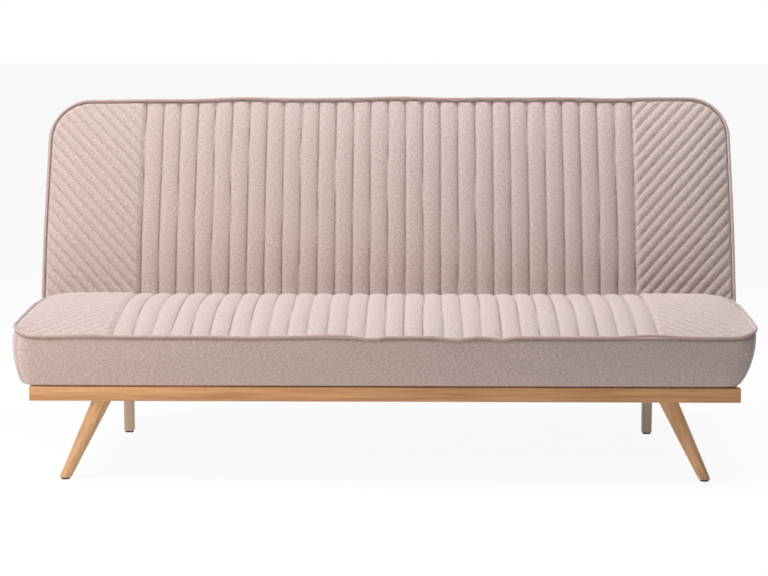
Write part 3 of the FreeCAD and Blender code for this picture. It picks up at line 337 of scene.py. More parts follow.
def bump(tree, shader, height, strength, distance):
    node = tree.nodes.new("ShaderNodeBump")
    node.inputs["Strength"].default_value = strength
    node.inputs["Distance"].default_value = distance
    wire(tree, height, node.inputs["Height"])
    wire(tree, node.outputs["Normal"], shader.inputs["Normal"])


def attribute(tree, name):
    node = tree.nodes.new("ShaderNodeAttribute")
    node.attribute_name = name
    return node


def cloth_material(name, light, dark, bump_height=0.0005):
    """Cloth that follows the piece's own "cloth" coordinate, with painted shade darkening its seams and
    creases.
    """
    material, tree, shader = surface(name, roughness=0.95, sheen=0.25)
    yarn = tree.nodes.new("ShaderNodeGroup")
    yarn.node_tree = YARN
    wire(tree, attribute(tree, "cloth").outputs["Vector"], yarn.inputs["Cloth"])
    wire(tree, attribute(tree, "painted_shade").outputs["Fac"], yarn.inputs["Painted Shade"])
    yarn.inputs["Light"].default_value = light
    yarn.inputs["Dark"].default_value = dark
    wire(tree, yarn.outputs["Color"], shader.inputs["Base Color"])
    bump(tree, shader, yarn.outputs["Height"], 0.55, bump_height)
    return material


TAUPE = cloth_material("Taupe upholstery cloth", (0.79, 0.650, 0.612, 1), (0.40, 0.308, 0.283, 1))
PIPING = cloth_material("Taupe piping cloth", (0.70, 0.55, 0.50, 1), (0.42, 0.30, 0.265, 1), 0.0003)
FELT = cloth_material("Black felted cloth", (0.045, 0.043, 0.04, 1), (0.012, 0.012, 0.012, 1), 0.0003)
STRAP = cloth_material("Elastic webbing", (0.42, 0.37, 0.31, 1), (0.13, 0.11, 0.09, 1), 0.0006)
print("cloth materials made")

# %% [markdown]
# The front rail and the front legs are light oak, and the hidden woods are paler. Their pale
# tone is raised nearly to white, partly as painted light that lifts the rear legs out of the
# seat's shadow. Oak has long straight grain with fine darker pores. An image could show it,
# but it would repeat and run the wrong way on some board. Noise squeezed across the grain and
# stretched along it gives the fibres, and a slower noise gives the broad bands. Each board
# says which way its grain runs by turning the coordinate.

# %% Wood
BAND_SCALE = (2.2, 60, 60)
FIBRE_SCALE = (9, 420, 420)
PORE_SCALE = (45, 1300, 1300)
PORE_SHADE = (0.30, 0.16, 0.07, 1)


def wood_grain():
    tree, given, out = group(
        "wood grain",
        [
            ("Along", "NodeSocketVector", None),
            ("Light", "NodeSocketColor", (0.7, 0.5, 0.3, 1)),
            ("Dark", "NodeSocketColor", (0.45, 0.27, 0.13, 1)),
        ],
        [("Color", "NodeSocketColor"), ("Roughness", "NodeSocketFloat"), ("Height", "NodeSocketFloat")],
    )
    along = given.outputs["Along"]
    bands = noise(tree, stretch(tree, along, BAND_SCALE), 1.0, 4.0, 0.6)
    fibres = noise(tree, stretch(tree, along, FIBRE_SCALE), 1.0, 3.0, 0.65)
    pores = noise(tree, stretch(tree, along, PORE_SCALE), 1.0, 2.0, 0.5)
    warp = spread(tree, bands, 0.38, 0.62)
    fine = spread(tree, fibres, 0.3, 0.7)
    tone = maths(tree, "ADD", maths(tree, "MULTIPLY", warp, 0.6), maths(tree, "MULTIPLY", fine, 0.4))
    colour = blend_colour(tree, tone, given.outputs["Dark"], given.outputs["Light"])
    dots = spread(tree, pores, 0.60, 0.72)
    colour = blend_colour(tree, maths(tree, "MULTIPLY", dots, 0.35), colour, PORE_SHADE)
    wire(tree, colour, out.inputs["Color"])
    wire(tree, spread(tree, fine, 0.0, 1.0, 0.52, 0.36), out.inputs["Roughness"])
    height = maths(tree, "SUBTRACT", maths(tree, "MULTIPLY", fine, 0.4), dots)
    wire(tree, height, out.inputs["Height"])
    return tree


GRAIN = wood_grain()
print("group", GRAIN.name)


# %% Wood finishes
def wood_material(name, light, dark, turn=(0.0, 0.0, 0.0), coat=0.25):
    material, tree, shader = surface(name, roughness=0.45)
    shader.inputs["Coat Weight"].default_value = coat
    shader.inputs["Coat Roughness"].default_value = 0.25
    place = tree.nodes.new("ShaderNodeTexCoord")
    grain = tree.nodes.new("ShaderNodeGroup")
    grain.node_tree = GRAIN
    wire(tree, stretch(tree, place.outputs["Object"], (1, 1, 1), turn), grain.inputs["Along"])
    grain.inputs["Light"].default_value = light
    grain.inputs["Dark"].default_value = dark
    wire(tree, grain.outputs["Color"], shader.inputs["Base Color"])
    wire(tree, grain.outputs["Roughness"], shader.inputs["Roughness"])
    bump(tree, shader, grain.outputs["Height"], 0.35, 0.0004)
    return material


UPRIGHT_GRAIN = (0.0, math.pi / 2, 0.0)
DEPTH_GRAIN = (0.0, 0.0, math.pi / 2)
OAK_LIGHT = (0.84, 0.47, 0.21, 1)
OAK_DARK = (0.44, 0.19, 0.065, 1)
# The pale wood tones are partly the wood's own pale tone and partly painted light, raised nearly to white to
# make up for the seat's shadow on the rear legs; the side and rear rails share them.
PALE_LIGHT = (0.96, 0.82, 0.66, 1)
PALE_DARK = (0.88, 0.70, 0.52, 1)
LEG_LIGHT = (0.92, 0.57, 0.30, 1)
LEG_DARK = (0.56, 0.28, 0.115, 1)
PINE_LIGHT = (0.80, 0.62, 0.40, 1)
PINE_DARK = (0.62, 0.42, 0.22, 1)
RAIL_WOOD = wood_material("Light oak along the rail", OAK_LIGHT, OAK_DARK)
POST_WOOD = wood_material("Pale wood upright", PALE_LIGHT, PALE_DARK, UPRIGHT_GRAIN)
SIDE_WOOD = wood_material("Pale wood front to rear", PALE_LIGHT, PALE_DARK, DEPTH_GRAIN)
REAR_WOOD = wood_material("Pale wood along the rail", PALE_LIGHT, PALE_DARK)
PINE_ALONG = wood_material("Pine along", PINE_LIGHT, PINE_DARK, coat=0.0)
PINE_ACROSS = wood_material("Pine front to rear", PINE_LIGHT, PINE_DARK, DEPTH_GRAIN, 0.0)
PINE_UPRIGHT = wood_material("Pine upright", PINE_LIGHT, PINE_DARK, UPRIGHT_GRAIN, 0.0)
print("wood materials made")

# %% [markdown]
# The hinges are pressed from zinc plated steel. A plain metal shader would look chromed.
# Zinc plating is duller, with a faint cloudy bloom and fine scratches, so its roughness
# varies more than its colour does. Rubber and plastic need only a fine moulded grain.

# %% Steel, rubber and plastic
BLOOM_TINT = (0.46, 0.47, 0.47, 1)
BLOOM_SCALE = 60.0
SCRATCH_SCALE = (40, 700, 700)
MOULD_GRAIN = 900.0


def worn_metal():
    tree, given, out = group(
        "zinc bloom",
        [("Place", "NodeSocketVector", None), ("Base", "NodeSocketColor", (0.6, 0.6, 0.58, 1))],
        [("Color", "NodeSocketColor"), ("Roughness", "NodeSocketFloat"), ("Height", "NodeSocketFloat")],
    )
    place = given.outputs["Place"]
    cloud = noise(tree, place, BLOOM_SCALE, 4.0, 0.6)
    scratch = noise(tree, stretch(tree, place, SCRATCH_SCALE), 1.0, 3.0, 0.6)
    tint = blend_colour(tree, spread(tree, cloud, 0.35, 0.65), given.outputs["Base"], BLOOM_TINT)
    wire(tree, tint, out.inputs["Color"])
    cloudy = spread(tree, cloud, 0.3, 0.7, 0.28, 0.44)
    rough = maths(tree, "ADD", cloudy, maths(tree, "MULTIPLY", scratch, 0.12))
    wire(tree, rough, out.inputs["Roughness"])
    wire(tree, scratch, out.inputs["Height"])
    return tree


BLOOM = worn_metal()


def metal_material(name, base):
    material, tree, shader = surface(name, roughness=0.38, metallic=1.0)
    place = tree.nodes.new("ShaderNodeTexCoord")
    bloom = tree.nodes.new("ShaderNodeGroup")
    bloom.node_tree = BLOOM
    bloom.inputs["Base"].default_value = base
    wire(tree, place.outputs["Object"], bloom.inputs["Place"])
    wire(tree, bloom.outputs["Color"], shader.inputs["Base Color"])
    wire(tree, bloom.outputs["Roughness"], shader.inputs["Roughness"])
    bump(tree, shader, bloom.outputs["Height"], 0.12, 0.0002)
    return material


def moulded_material(name, base, roughness):
    material, tree, shader = surface(name, roughness=roughness)
    place = tree.nodes.new("ShaderNodeTexCoord")
    grain = noise(tree, place.outputs["Object"], MOULD_GRAIN, 2.0, 0.5)
    darker = tuple(0.6 * v for v in base[:3]) + (1,)
    wire(tree, blend_colour(tree, spread(tree, grain, 0.3, 0.7), base, darker), shader.inputs["Base Color"])
    bump(tree, shader, grain, 0.3, 0.0002)
    return material


ZINC = metal_material("Zinc plated steel", (0.66, 0.66, 0.63, 1))
BOLT_ZINC = metal_material("Zinc plated fasteners", (0.72, 0.70, 0.62, 1))
GLIDE = moulded_material("Dark moulded glide", (0.035, 0.03, 0.027, 1), 0.55)
RUBBER = moulded_material("Buffer rubber", (0.02, 0.02, 0.02, 1), 0.8)
print("hard materials made")

# %% [markdown]
# Nothing sewn is quite straight. A seam wavers, a cord dips, a stretched cloth sags. Random
# points would make such lines ragged, so a few sine waves of different length are added up.
# Their seed is fixed, so that they come out the same on every run.

# %% Smooth seeded ripples
def ripple(values, wavelength, seed, spreading=0.45, waves=6):
    """A smooth wandering line of height about 1, the same on every run."""
    random = np.random.default_rng(seed)
    total = np.zeros_like(values)
    for _ in range(waves):
        length = wavelength * math.exp(random.normal() * spreading)
        total += np.sin(values * 2 * math.pi / length + random.uniform(0, 2 * math.pi))
    return total / math.sqrt(waves)


def smooth(values, low, high):
    t = np.clip((values - low) / (high - low), 0.0, 1.0)
    return t * t * (3 - 2 * t)


def read_points(piece):
    flat = np.empty(len(piece.data.vertices) * 3, np.float32)
    piece.data.vertices.foreach_get("co", flat)
    return flat.reshape(-1, 3).astype(float)


def write_points(piece, points):
    piece.data.vertices.foreach_set("co", points.astype(np.float32).ravel())
    piece.data.update()


def read_normals(piece):
    flat = np.empty(len(piece.data.vertices) * 3, np.float32)
    piece.data.vertices.foreach_get("normal", flat)
    return flat.reshape(-1, 3).astype(float)


def store(piece, name, values):
    kind = "FLOAT_VECTOR" if values.ndim == 2 else "FLOAT"
    layer = piece.data.attributes.get(name) or piece.data.attributes.new(name, kind, "POINT")
    layer.data.foreach_set("vector" if values.ndim == 2 else "value", values.astype(np.float32).ravel())


def recall(piece, name):
    layer = piece.data.attributes[name]
    flat = np.empty(len(layer.data) * 3, np.float32)
    layer.data.foreach_get("vector", flat)
    return flat.reshape(-1, 3).astype(float)


# %% Distance to an edge
def inside_distance(x, y, half, low, high, low_r, high_r):
    """How far a plan point lies inside a rectangle with two pairs of round corners."""
    radius = np.where(y > (low + high) / 2, high_r, low_r)
    dx = np.abs(x) - (half - radius)
    middle = (low + high) / 2
    dy = np.abs(y - middle) - ((high - low) / 2 - radius)
    outside = np.hypot(np.maximum(dx, 0), np.maximum(dy, 0))
    return radius - outside - np.minimum(np.maximum(dx, dy), 0)


print("ripples ready")

# %% [markdown]
# Quilting is stitched through the cover and a thin layer of wadding. It could be a bump,
# but then the channels would vanish at the outline and in other light. So it is worked out
# on a flat plan of each cushion and moves the real surface. The middle panel has straight
# ribs, and the two end panels have slanting channels. Each seam is a fine V, and the cloth
# puffs up between the seams. Points that lie close to a seam are drawn onto it, so that
# the V stays sharp.

# %% Quilting
RIB_DEPTH = 0.0062
RIB_PUFF = 2.6
DIAGONAL_DEPTH = 0.0036
DIAGONAL_PUFF = 2.4
DIAGONAL_SINK = 0.0015
# Strength of the painted shade along the slanting seams.
DIAGONAL_SEAM_SHADE = 0.5
DIAGONAL_WOBBLE = 0.02
SEAM_WAVER = 0.0013
SEAM_WAVELENGTH = 0.42
PANEL_SEAM_REACH = 0.012
# Width of the painted shade along each seam.
SEAM_SHADE_WIDTH = 0.0017
PUCKER = 0.00045
PUCKER_LENGTH = 0.017
EDGE_SINK = 0.0010


def quilt(x, v, inside, heading, seed, pitch):
    """Shift of x and v onto the seams, the height of the quilting and the painted shade along its seams."""
    shift_x = np.zeros_like(x)
    shift_v = np.zeros_like(x)
    panel_half = pitch * RIB_COUNT / 2
    line = (x + panel_half) / pitch
    number = np.clip(np.rint(line), 0, RIB_COUNT)
    waver = SEAM_WAVER * ripple(v + number * 3.7, SEAM_WAVELENGTH, seed)
    seam_x = -panel_half + number * pitch + waver
    from_seam = x - seam_x
    ribs = np.abs(x) < panel_half + pitch / 12
    near = ribs & (np.abs(from_seam) < VOXEL / 4)
    shift_x[near] = -from_seam[near]
    phase = np.minimum(np.abs(from_seam), pitch / 2) / (pitch / 2)
    rib_height = RIB_DEPTH * (1 - (1 - phase) ** RIB_PUFF)
    rib_gap = np.abs(from_seam)
    reach = np.abs(x) - panel_half
    row = (v - heading * DIAGONAL_SLOPE * reach) / DIAGONAL_PITCH
    wobble = DIAGONAL_WOBBLE * ripple(reach + np.rint(row) * 2.9, 0.2, seed + 1)
    fraction = row - wobble - np.rint(row)
    steep = math.hypot(1.0, DIAGONAL_SLOPE)
    across = fraction * DIAGONAL_PITCH / steep
    slanted = ~ribs
    near = slanted & (np.abs(across) < VOXEL / 6)
    shift_x[near] += (np.sign(x) * heading * across * DIAGONAL_SLOPE / steep)[near]
    shift_v[near] -= (across / steep)[near]
    phase = np.minimum(np.abs(fraction) * 2, 1.0)
    slant_height = DIAGONAL_DEPTH * (1 - (1 - phase) ** DIAGONAL_PUFF)
    slant_gap = np.abs(across)
    fade_slant = smooth(inside, 0.004, 0.014)
    fade_rib = smooth(inside, 0.001, 0.012)
    side_gap = np.abs(reach)
    side_height = np.minimum(side_gap / PANEL_SEAM_REACH, 1.0) ** 0.6
    slant = np.minimum(slant_height * fade_slant + DIAGONAL_DEPTH * (1 - fade_slant), DIAGONAL_DEPTH)
    rib = rib_height * fade_rib + RIB_DEPTH * 0.55 * (1 - fade_rib)
    slant = slant * side_height - RIB_DEPTH * (1 - side_height) - DIAGONAL_SINK
    height = np.where(ribs, rib - RIB_DEPTH, slant)
    height = height * fade_rib - EDGE_SINK * (1 - fade_rib)
    gap = np.where(ribs, rib_gap, np.minimum(slant_gap + 0.02 * (1 - fade_slant), side_gap))
    pucker = PUCKER * ripple(v + np.rint(line) * 1.3, PUCKER_LENGTH, seed + 2, 0.3) * np.exp(-gap / 0.006)
    # Painted shade along each seam, weaker on the slanting channels.
    seam_shade_weight = np.where(ribs | (side_gap < slant_gap), fade_rib, DIAGONAL_SEAM_SHADE * fade_slant)
    painted_shade = np.exp(-((gap / SEAM_SHADE_WIDTH) ** 2)) * seam_shade_weight
    return shift_x, shift_v, height + pucker, painted_shade


print("ribs", RIB_COUNT, "panel", round(RIB_PITCH * RIB_COUNT, 3))

# %% [markdown]
# Each pad is foam under a tight cover. It could be sculpted by hand, but then it couldn't
# follow a change of size. So it starts as a cube. The upright edges are bevelled to the
# cushion's corners, and a voxel remesh gives it an even skin fine enough to sew. The skin
# remembers its flat plan in an attribute, so the quilting still knows its place after the
# pad has been blown up. Cloth with a little pressure makes it swell as foam does, and a cap
# on how far a point may move keeps it inside the sofa's size.

# %% Pads from a cube
SWELL_FRAMES = 20
FOOT_CORNER = 0.014
FOOT_ROUND = 0.022
TUCK_DEPTH = 0.002
TUCK_WIDTH = 0.006
# The cloth next to the piping is darkened with painted shade.
EDGE_SHADE = 0.75
EDGE_SHADE_WIDTH = 0.0035


def pad_block(name, low, high, rounded, voxel):
    """A bevelled and remeshed block that stores its own plan."""
    piece = cube(name, low, high)
    for radius, segments, test in rounded:
        choose(piece, "EDGE", lambda e: test(*(piece.data.vertices[i].co for i in e.vertices)))
        bpy.ops.mesh.bevel(offset=radius, segments=segments, affect="EDGES")
        bpy.ops.object.mode_set(mode="OBJECT")
    modify(piece, "REMESH", mode="VOXEL", voxel_size=voxel)
    store(piece, "plan", read_points(piece))
    return piece


def swell(piece, pinned, cap, pressure=4.0):
    """Blow the pad up a little as cloth, hold the pinned points, and cap the movement."""
    start = read_points(piece)
    holders = piece.vertex_groups.new(name="held")
    holders.add([int(i) for i in np.nonzero(pinned)[0]], 1.0, "REPLACE")
    pick(piece)
    modifier = piece.modifiers.new("Cloth", "CLOTH")
    settings = modifier.settings
    settings.quality = 4
    settings.mass = 0.3
    settings.use_pressure = True
    settings.uniform_pressure_force = pressure
    settings.vertex_group_mass = "held"
    settings.tension_stiffness = 12
    settings.compression_stiffness = 12
    settings.shear_stiffness = 6
    settings.bending_stiffness = 0.6
    settings.effector_weights.gravity = 0.0
    scene = bpy.context.scene
    for step in range(1, SWELL_FRAMES + 1):
        scene.frame_set(step)
    bpy.ops.object.modifier_apply(modifier=modifier.name)
    scene.frame_set(1)
    piece.vertex_groups.clear()
    moved = read_points(piece) - start
    length = np.linalg.norm(moved, axis=1)
    scale = np.where(length > 1e-9, cap * np.tanh(length / cap) / np.maximum(length, 1e-9), 0.0)
    write_points(piece, start + moved * scale[:, None])
    print(piece.name, "swelled by up to", round(float((length * scale).max()) * 1000, 1), "mm")
    return piece


def upright_edge(y_test):
    return lambda a, b: abs(a.z - b.z) > 0.01 and y_test(a.y)


def level_edge(y, z, tolerance=1e-4):
    return lambda a, b: abs(a.y - y) + abs(b.y - y) < tolerance and abs(a.z - z) + abs(b.z - z) < tolerance


# %% Sewing a pad
def top_share(level, edge):
    """How much a point belongs to the quilted face, from its height on the plan."""
    return smooth(level, edge - VOXEL * 0.7, edge - VOXEL * 0.2)


def press_quilting(piece, x, v, on_top, inside, heading, seed, pitch):
    """Move the face onto its seams, and give back its points, normals and the painted shade along its seams."""
    shift_x, shift_v, height, painted_shade = quilt(x, v, inside, heading, seed, pitch)
    points = read_points(piece)
    normals = read_normals(piece)
    points[:, 0] += shift_x * on_top
    points[:, 1] += shift_v * on_top
    points += normals * (height * on_top)[:, None]
    return points, normals, painted_shade


def tuck_under_piping(points, normals, to_edge):
    tuck = np.exp(-((to_edge / TUCK_WIDTH) ** 2)) * TUCK_DEPTH
    points -= normals * tuck[:, None]


# Painted shade on the cloth right next to the piping.
def edge_shade(to_edge):
    return EDGE_SHADE * np.exp(-((to_edge / EDGE_SHADE_WIDTH) ** 2))


def lay_cloth(piece, x, v, level, on_top, on_side):
    """Store the cloth coordinate: the plan on the face, and along and up on the sides."""
    cloth = np.column_stack([x, np.where(on_top > 0.5, v, level), np.zeros_like(x)])
    cloth[on_side, 0] = v[on_side]
    store(piece, "cloth", cloth)


# %% [markdown]
# The seat is a firm foam pad: a crown from front to rear, sides that fall away to the rail,
# and a boxing strip that bulges a little, more so at the left end. The edge under the
# piping isn't straight, because the cover was pulled on by hand, and dips here and there.
# All this could be modelled edge by edge. Written as functions of the plan, the same lines
# serve the pad and its piping. The rear face leans forward at its top, so that the seat
# can be lifted without pressing into the backrest.

# %% Shape of the seat pad
CROWN_Y = SEAT_FRONT + 0.263
SEAT_FOOT_IN = 0.037
SEAT_LEFT_FOOT_IN = 0.012
SEAT_REAR_LEAN = 0.007
SEAT_LEFT_BELLY = 0.009
SEAT_CORNER = 0.045
FRONT_DIPS = (
    (-0.890, 0.0075, 0.030), (-0.711, 0.0028, 0.050), (-0.325, -0.0016, 0.060), (-0.132, 0.0030, 0.060),
    (-0.035, -0.0055, 0.030), (0.170, -0.0062, 0.032), (0.278, -0.0052, 0.026), (0.640, 0.0048, 0.060),
    (0.885, 0.0055, 0.035),
)


def three_point_arc(values, first, middle, last):
    """Height of the circle through three (place, height) points."""
    (a, b), (c, d), (e, f) = first, middle, last
    matrix = np.array([[a, b, 1.0], [c, d, 1.0], [e, f, 1.0]])
    p, q, r = np.linalg.solve(matrix, -np.array([a * a + b * b, c * c + d * d, e * e + f * f]))
    centre, height = -p / 2, -q / 2
    radius = math.sqrt(centre**2 + height**2 - r)
    return height + np.sqrt(radius**2 - (values - centre) ** 2)


def seat_crown(y):
    return three_point_arc(
        y, (SEAT_FRONT, SEAT_EDGE), (CROWN_Y, SEAT_TOP), (SEAT_REAR, SEAT_TOP_REAR)
    )


def seat_edge_line(y):
    """The piped edge climbs soon behind each front corner, and droops a little at the rear."""
    behind = np.maximum(y - SEAT_FRONT, 0)
    droop = 0.004 * smooth(behind, 0.30, SEAT_REAR - SEAT_FRONT)
    return SEAT_EDGE + SEAT_SIDE_RISE * (1 - np.exp(-behind / 0.075)) - droop


def seat_edge_wave(x, y):
    """How far the piped edge rises or dips at the front, and a slow ripple at the sides."""
    wave = np.zeros_like(x)
    for place, rise, width in FRONT_DIPS:
        wave += rise * np.exp(-(((x - place) / width) ** 2))
    front = 1 - smooth(y, SEAT_FRONT + 0.01, SEAT_FRONT + 0.12)
    side = 0.0007 * ripple(y, 0.2, 21)
    return wave * front + side * (1 - front)


def seat_shape(points):
    x, y, z = points.T
    level = np.clip((z - SEAT_BASE) / (SEAT_EDGE - SEAT_BASE), 0, 1)
    lean = SEAT_FOOT_IN * (1 - level) ** 2.64
    bellied = SEAT_LEFT_FOOT_IN * (1 - level) ** 1.2 - SEAT_LEFT_BELLY * 4 * level * (1 - level)
    lean = np.where(x < 0, lean + (bellied - lean) * smooth(-x, 0.5 * SEAT_HALF, 0.9 * SEAT_HALF), lean)
    new_x = x * (1 - lean / SEAT_HALF)
    frontness = np.clip((SEAT_REAR - y) / (SEAT_REAR - SEAT_FRONT), 0, 1)
    bulge = -0.007 * 4 * level * (1 - level) + 0.009 * (1 - level)
    bulge += 0.0022 * ripple(x + 0.4 * level, 0.33, 5) * level * (1 - level) * 4
    new_y = y + bulge * frontness
    new_y -= SEAT_REAR_LEAN * level**2 * smooth(y, SEAT_REAR - 0.06, SEAT_REAR)
    fall = 1 - (1 - np.clip((SEAT_HALF - np.abs(x)) / 0.10, 0, 1)) ** 2.2
    edge = seat_edge_line(y)
    top = edge + (seat_crown(y) - edge) * fall + seat_edge_wave(x, y) * (1 - 0.6 * fall)
    new_z = SEAT_BASE + level * (top - SEAT_BASE)
    return np.column_stack([new_x, new_y, new_z])


# %% Making and sewing the seat pad
SIDE_SEAM_IN = 0.013
SIDE_SEAM_WIDTH = 0.004
SIDE_SEAM_DEPTH = 0.0022
SEAT_SWELL = 0.006


def seat_pad():
    low = (-SEAT_HALF, SEAT_FRONT, SEAT_BASE)
    high = (SEAT_HALF, SEAT_REAR, SEAT_EDGE)
    middle_y = (SEAT_FRONT + SEAT_REAR) / 2
    rounded = [
        (SEAT_CORNER, 8, upright_edge(lambda y: y < middle_y)),
        (FOOT_CORNER, 4, upright_edge(lambda y: y > middle_y)),
        (FOOT_ROUND, 6, level_edge(SEAT_REAR, SEAT_EDGE)),
    ]
    piece = pad_block("seat_pad", low, high, rounded, VOXEL)
    plan = recall(piece, "plan")
    write_points(piece, seat_shape(plan))
    edge_in = inside_distance(
        plan[:, 0], plan[:, 1], SEAT_HALF, SEAT_FRONT, SEAT_REAR, SEAT_CORNER, FOOT_CORNER
    )
    on_edge = (np.abs(plan[:, 2] - SEAT_EDGE) < VOXEL) & (edge_in < VOXEL)
    on_foot = plan[:, 2] < SEAT_BASE + VOXEL
    at_rear = plan[:, 1] > SEAT_REAR - 0.02
    swell(piece, on_edge | on_foot | at_rear, SEAT_SWELL, 3.0)
    modify(piece, "SUBSURF", levels=1, render_levels=1)
    return piece


def sew_seat(piece):
    plan = recall(piece, "plan")
    x, y, z = plan.T
    inside = inside_distance(x, y, SEAT_HALF, SEAT_FRONT, SEAT_REAR + 0.08, SEAT_CORNER, FOOT_CORNER)
    on_top = top_share(z, SEAT_EDGE)
    points, normals, painted_shade = press_quilting(piece, x, y, on_top, inside, -1, 11, SEAT_RIB_PITCH)
    to_edge = np.hypot(inside, SEAT_EDGE - z)
    tuck_under_piping(points, normals, to_edge)
    from_corner = np.abs(x) - (SEAT_HALF - SIDE_SEAM_IN)
    to_seam = np.hypot(from_corner, (y - (SEAT_FRONT + SIDE_SEAM_IN)) * 0.9)
    side_seam = np.exp(-((to_seam / SIDE_SEAM_WIDTH) ** 2)) * (1 - on_top)
    points -= normals * (side_seam * SIDE_SEAM_DEPTH)[:, None]
    write_points(piece, points)
    on_side = (np.abs(x) > SEAT_HALF - SEAT_CORNER * 0.7) & (on_top <= 0.5)
    lay_cloth(piece, x, y, z, on_top, on_side)
    # Painted shade: darker along the seams, next to the piping and in the side seam.
    store(piece, "painted_shade", np.clip(painted_shade * on_top * 0.8 + edge_shade(to_edge) + 0.3 * side_seam, 0, 1))


seat = seat_pad()
sew_seat(seat)
pick(seat)
bpy.ops.object.shade_smooth()
finish_piece(seat, TAUPE, "seat", "taupe_fabric", "seat_cushion", "seat_border")

# %% [markdown]
# The backrest is a thinner pad with two large round upper corners. It could be modelled in
# its leaning place, but every measure would then need the lean. It is drawn lying flat on
# its own plan, face up, and stood up about the hinge pin at the end, just as the backrest
# itself moves. Its foot is flat, which leaves room for the rear edge of the lifted seat.

# %% Shape of the backrest pad
BACK_CROWN = 0.013
FLAT_FOOT_END = 0.02
CROWN_START = 0.20
BACK_TOP_CORNER = 0.106
BACK_TAPER = 0.006
LEFT_DROP = 0.010
RIGHT_DROP = 0.001
SIDE_BOW = 0.002
BACK_SPREAD = 0.0015
BACK_SPREAD_RIGHT = 0.0050


def stand_up(points):
    """Turn (x, along, out of the face) into the place of the upright backrest."""
    x, t, h = points.T
    along = np.array([math.sin(LEAN), math.cos(LEAN)])
    out = np.array([-math.cos(LEAN), math.sin(LEAN)])
    return np.column_stack([x, PIN.y + t * along[0] + h * out[0], PIN.z + t * along[1] + h * out[1]])


def back_crown(t):
    middle = (BACK_LOW_T + BACK_HIGH_T) / 2
    arc = three_point_arc(t, (BACK_LOW_T, 0.0), (middle, BACK_CROWN), (BACK_HIGH_T, 0.0))
    return arc * smooth(t, FLAT_FOOT_END, CROWN_START)


def back_top_drop(x, t):
    """The top edge hangs a little at the left end and hardly at the right one."""
    drop = np.where(x < 0, LEFT_DROP, RIGHT_DROP) * np.clip(np.abs(x) / BACK_HALF, 0, 1) ** 1.6
    return -drop * smooth(t, 0.30, 0.57)


def back_shape(points):
    x, t, h = points.T
    level = np.clip((h - BACK_REAR) / (BACK_FACE - BACK_REAR), 0, 1)
    fall = 1 - (1 - np.clip((BACK_HALF - np.abs(x)) / 0.09, 0, 1)) ** 2.2
    rise = back_crown(t) * fall
    wave = 0.0016 * ripple(x, 0.26, 31) * smooth(t, 0.40, 0.57)
    bow = -SIDE_BOW * 4 * level * (1 - level)
    spread_out = np.where(x > 0, BACK_SPREAD_RIGHT, BACK_SPREAD)
    new_x = x * (1 + (spread_out + bow - BACK_TAPER * smooth(t, 0.15, 0.55)) / BACK_HALF)
    new_t = t + (wave + back_top_drop(x, t)) * level
    new_h = h + level**2 * rise
    return np.column_stack([new_x, new_t, new_h])


# %% Making and sewing the backrest pad
REAR_COVER_GAP = 0.002
BACK_SWELL = 0.004


def back_pad():
    low = (-BACK_HALF, BACK_LOW_T, BACK_REAR + REAR_COVER_GAP)
    high = (BACK_HALF, BACK_HIGH_T, BACK_FACE)
    middle = (BACK_LOW_T + BACK_HIGH_T) / 2
    rounded = [
        (FOOT_CORNER, 4, upright_edge(lambda y: y < middle)),
        (BACK_TOP_CORNER, 12, upright_edge(lambda y: y > middle)),
        (FOOT_ROUND, 6, level_edge(BACK_LOW_T, BACK_FACE)),
    ]
    piece = pad_block("back_pad", low, high, rounded, VOXEL)
    plan = recall(piece, "plan")
    write_points(piece, back_shape(plan))
    inside = inside_distance(
        plan[:, 0], plan[:, 1], BACK_HALF, BACK_LOW_T, BACK_HIGH_T, FOOT_CORNER, BACK_TOP_CORNER
    )
    on_edge = (np.abs(plan[:, 2] - BACK_FACE) < VOXEL) & (inside < VOXEL)
    on_rear = plan[:, 2] < BACK_REAR + REAR_COVER_GAP + VOXEL
    at_foot = plan[:, 1] < BACK_LOW_T + 0.10
    swell(piece, on_edge | on_rear | at_foot, BACK_SWELL, 2.0)
    modify(piece, "SUBSURF", levels=1, render_levels=1)
    return piece


def sew_back(piece):
    plan = recall(piece, "plan")
    x, t, h = plan.T
    inside = inside_distance(x, t, BACK_HALF, BACK_LOW_T - 0.08, BACK_HIGH_T, FOOT_CORNER, BACK_TOP_CORNER)
    on_top = top_share(h, BACK_FACE)
    points, normals, painted_shade = press_quilting(piece, x, t, on_top, inside, 1, 17, RIB_PITCH)
    to_edge = np.hypot(inside, BACK_FACE - h)
    tuck_under_piping(points, normals, to_edge)
    write_points(piece, points)
    on_side = (np.abs(x) > BACK_HALF - 0.05) & (on_top <= 0.5)
    lay_cloth(piece, x, t, h, on_top, on_side)
    # Painted shade: darker along the seams and next to the piping.
    store(piece, "painted_shade", np.clip(painted_shade * on_top * 0.8 + edge_shade(to_edge), 0, 1))


back = back_pad()
sew_back(back)
write_points(back, stand_up(read_points(back)))
pick(back)
bpy.ops.object.shade_smooth()

# %% [markdown]
# The lower edge of the backrest has a notch at each end where the hinge plates stand. It is
# cut last, with a boolean, because a cut made before the swelling would be blown shut.

# %% Hinge notches
NOTCH_INSIDE = 0.804
NOTCH_OUTSIDE = 0.837
NOTCH_TOP = 0.062
NOTCH_SKIN = 0.019


def cut_notches(piece):
    for side in (-1, 1):
        inner, outer = sorted((side * NOTCH_INSIDE, side * NOTCH_OUTSIDE))
        cutter = cube("notch_cutter", (inner, BACK_LOW_T - 0.05, BACK_REAR - 0.05),
                      (outer, NOTCH_TOP, BACK_FACE - NOTCH_SKIN))
        write_points(cutter, stand_up(read_points(cutter)))
        modify(piece, "BOOLEAN", operation="DIFFERENCE", solver="EXACT", object=cutter)
        bpy.data.objects.remove(cutter)


cut_notches(back)
finish_piece(back, TAUPE, "backrest", "taupe_fabric", "back_cushion", "back_border")

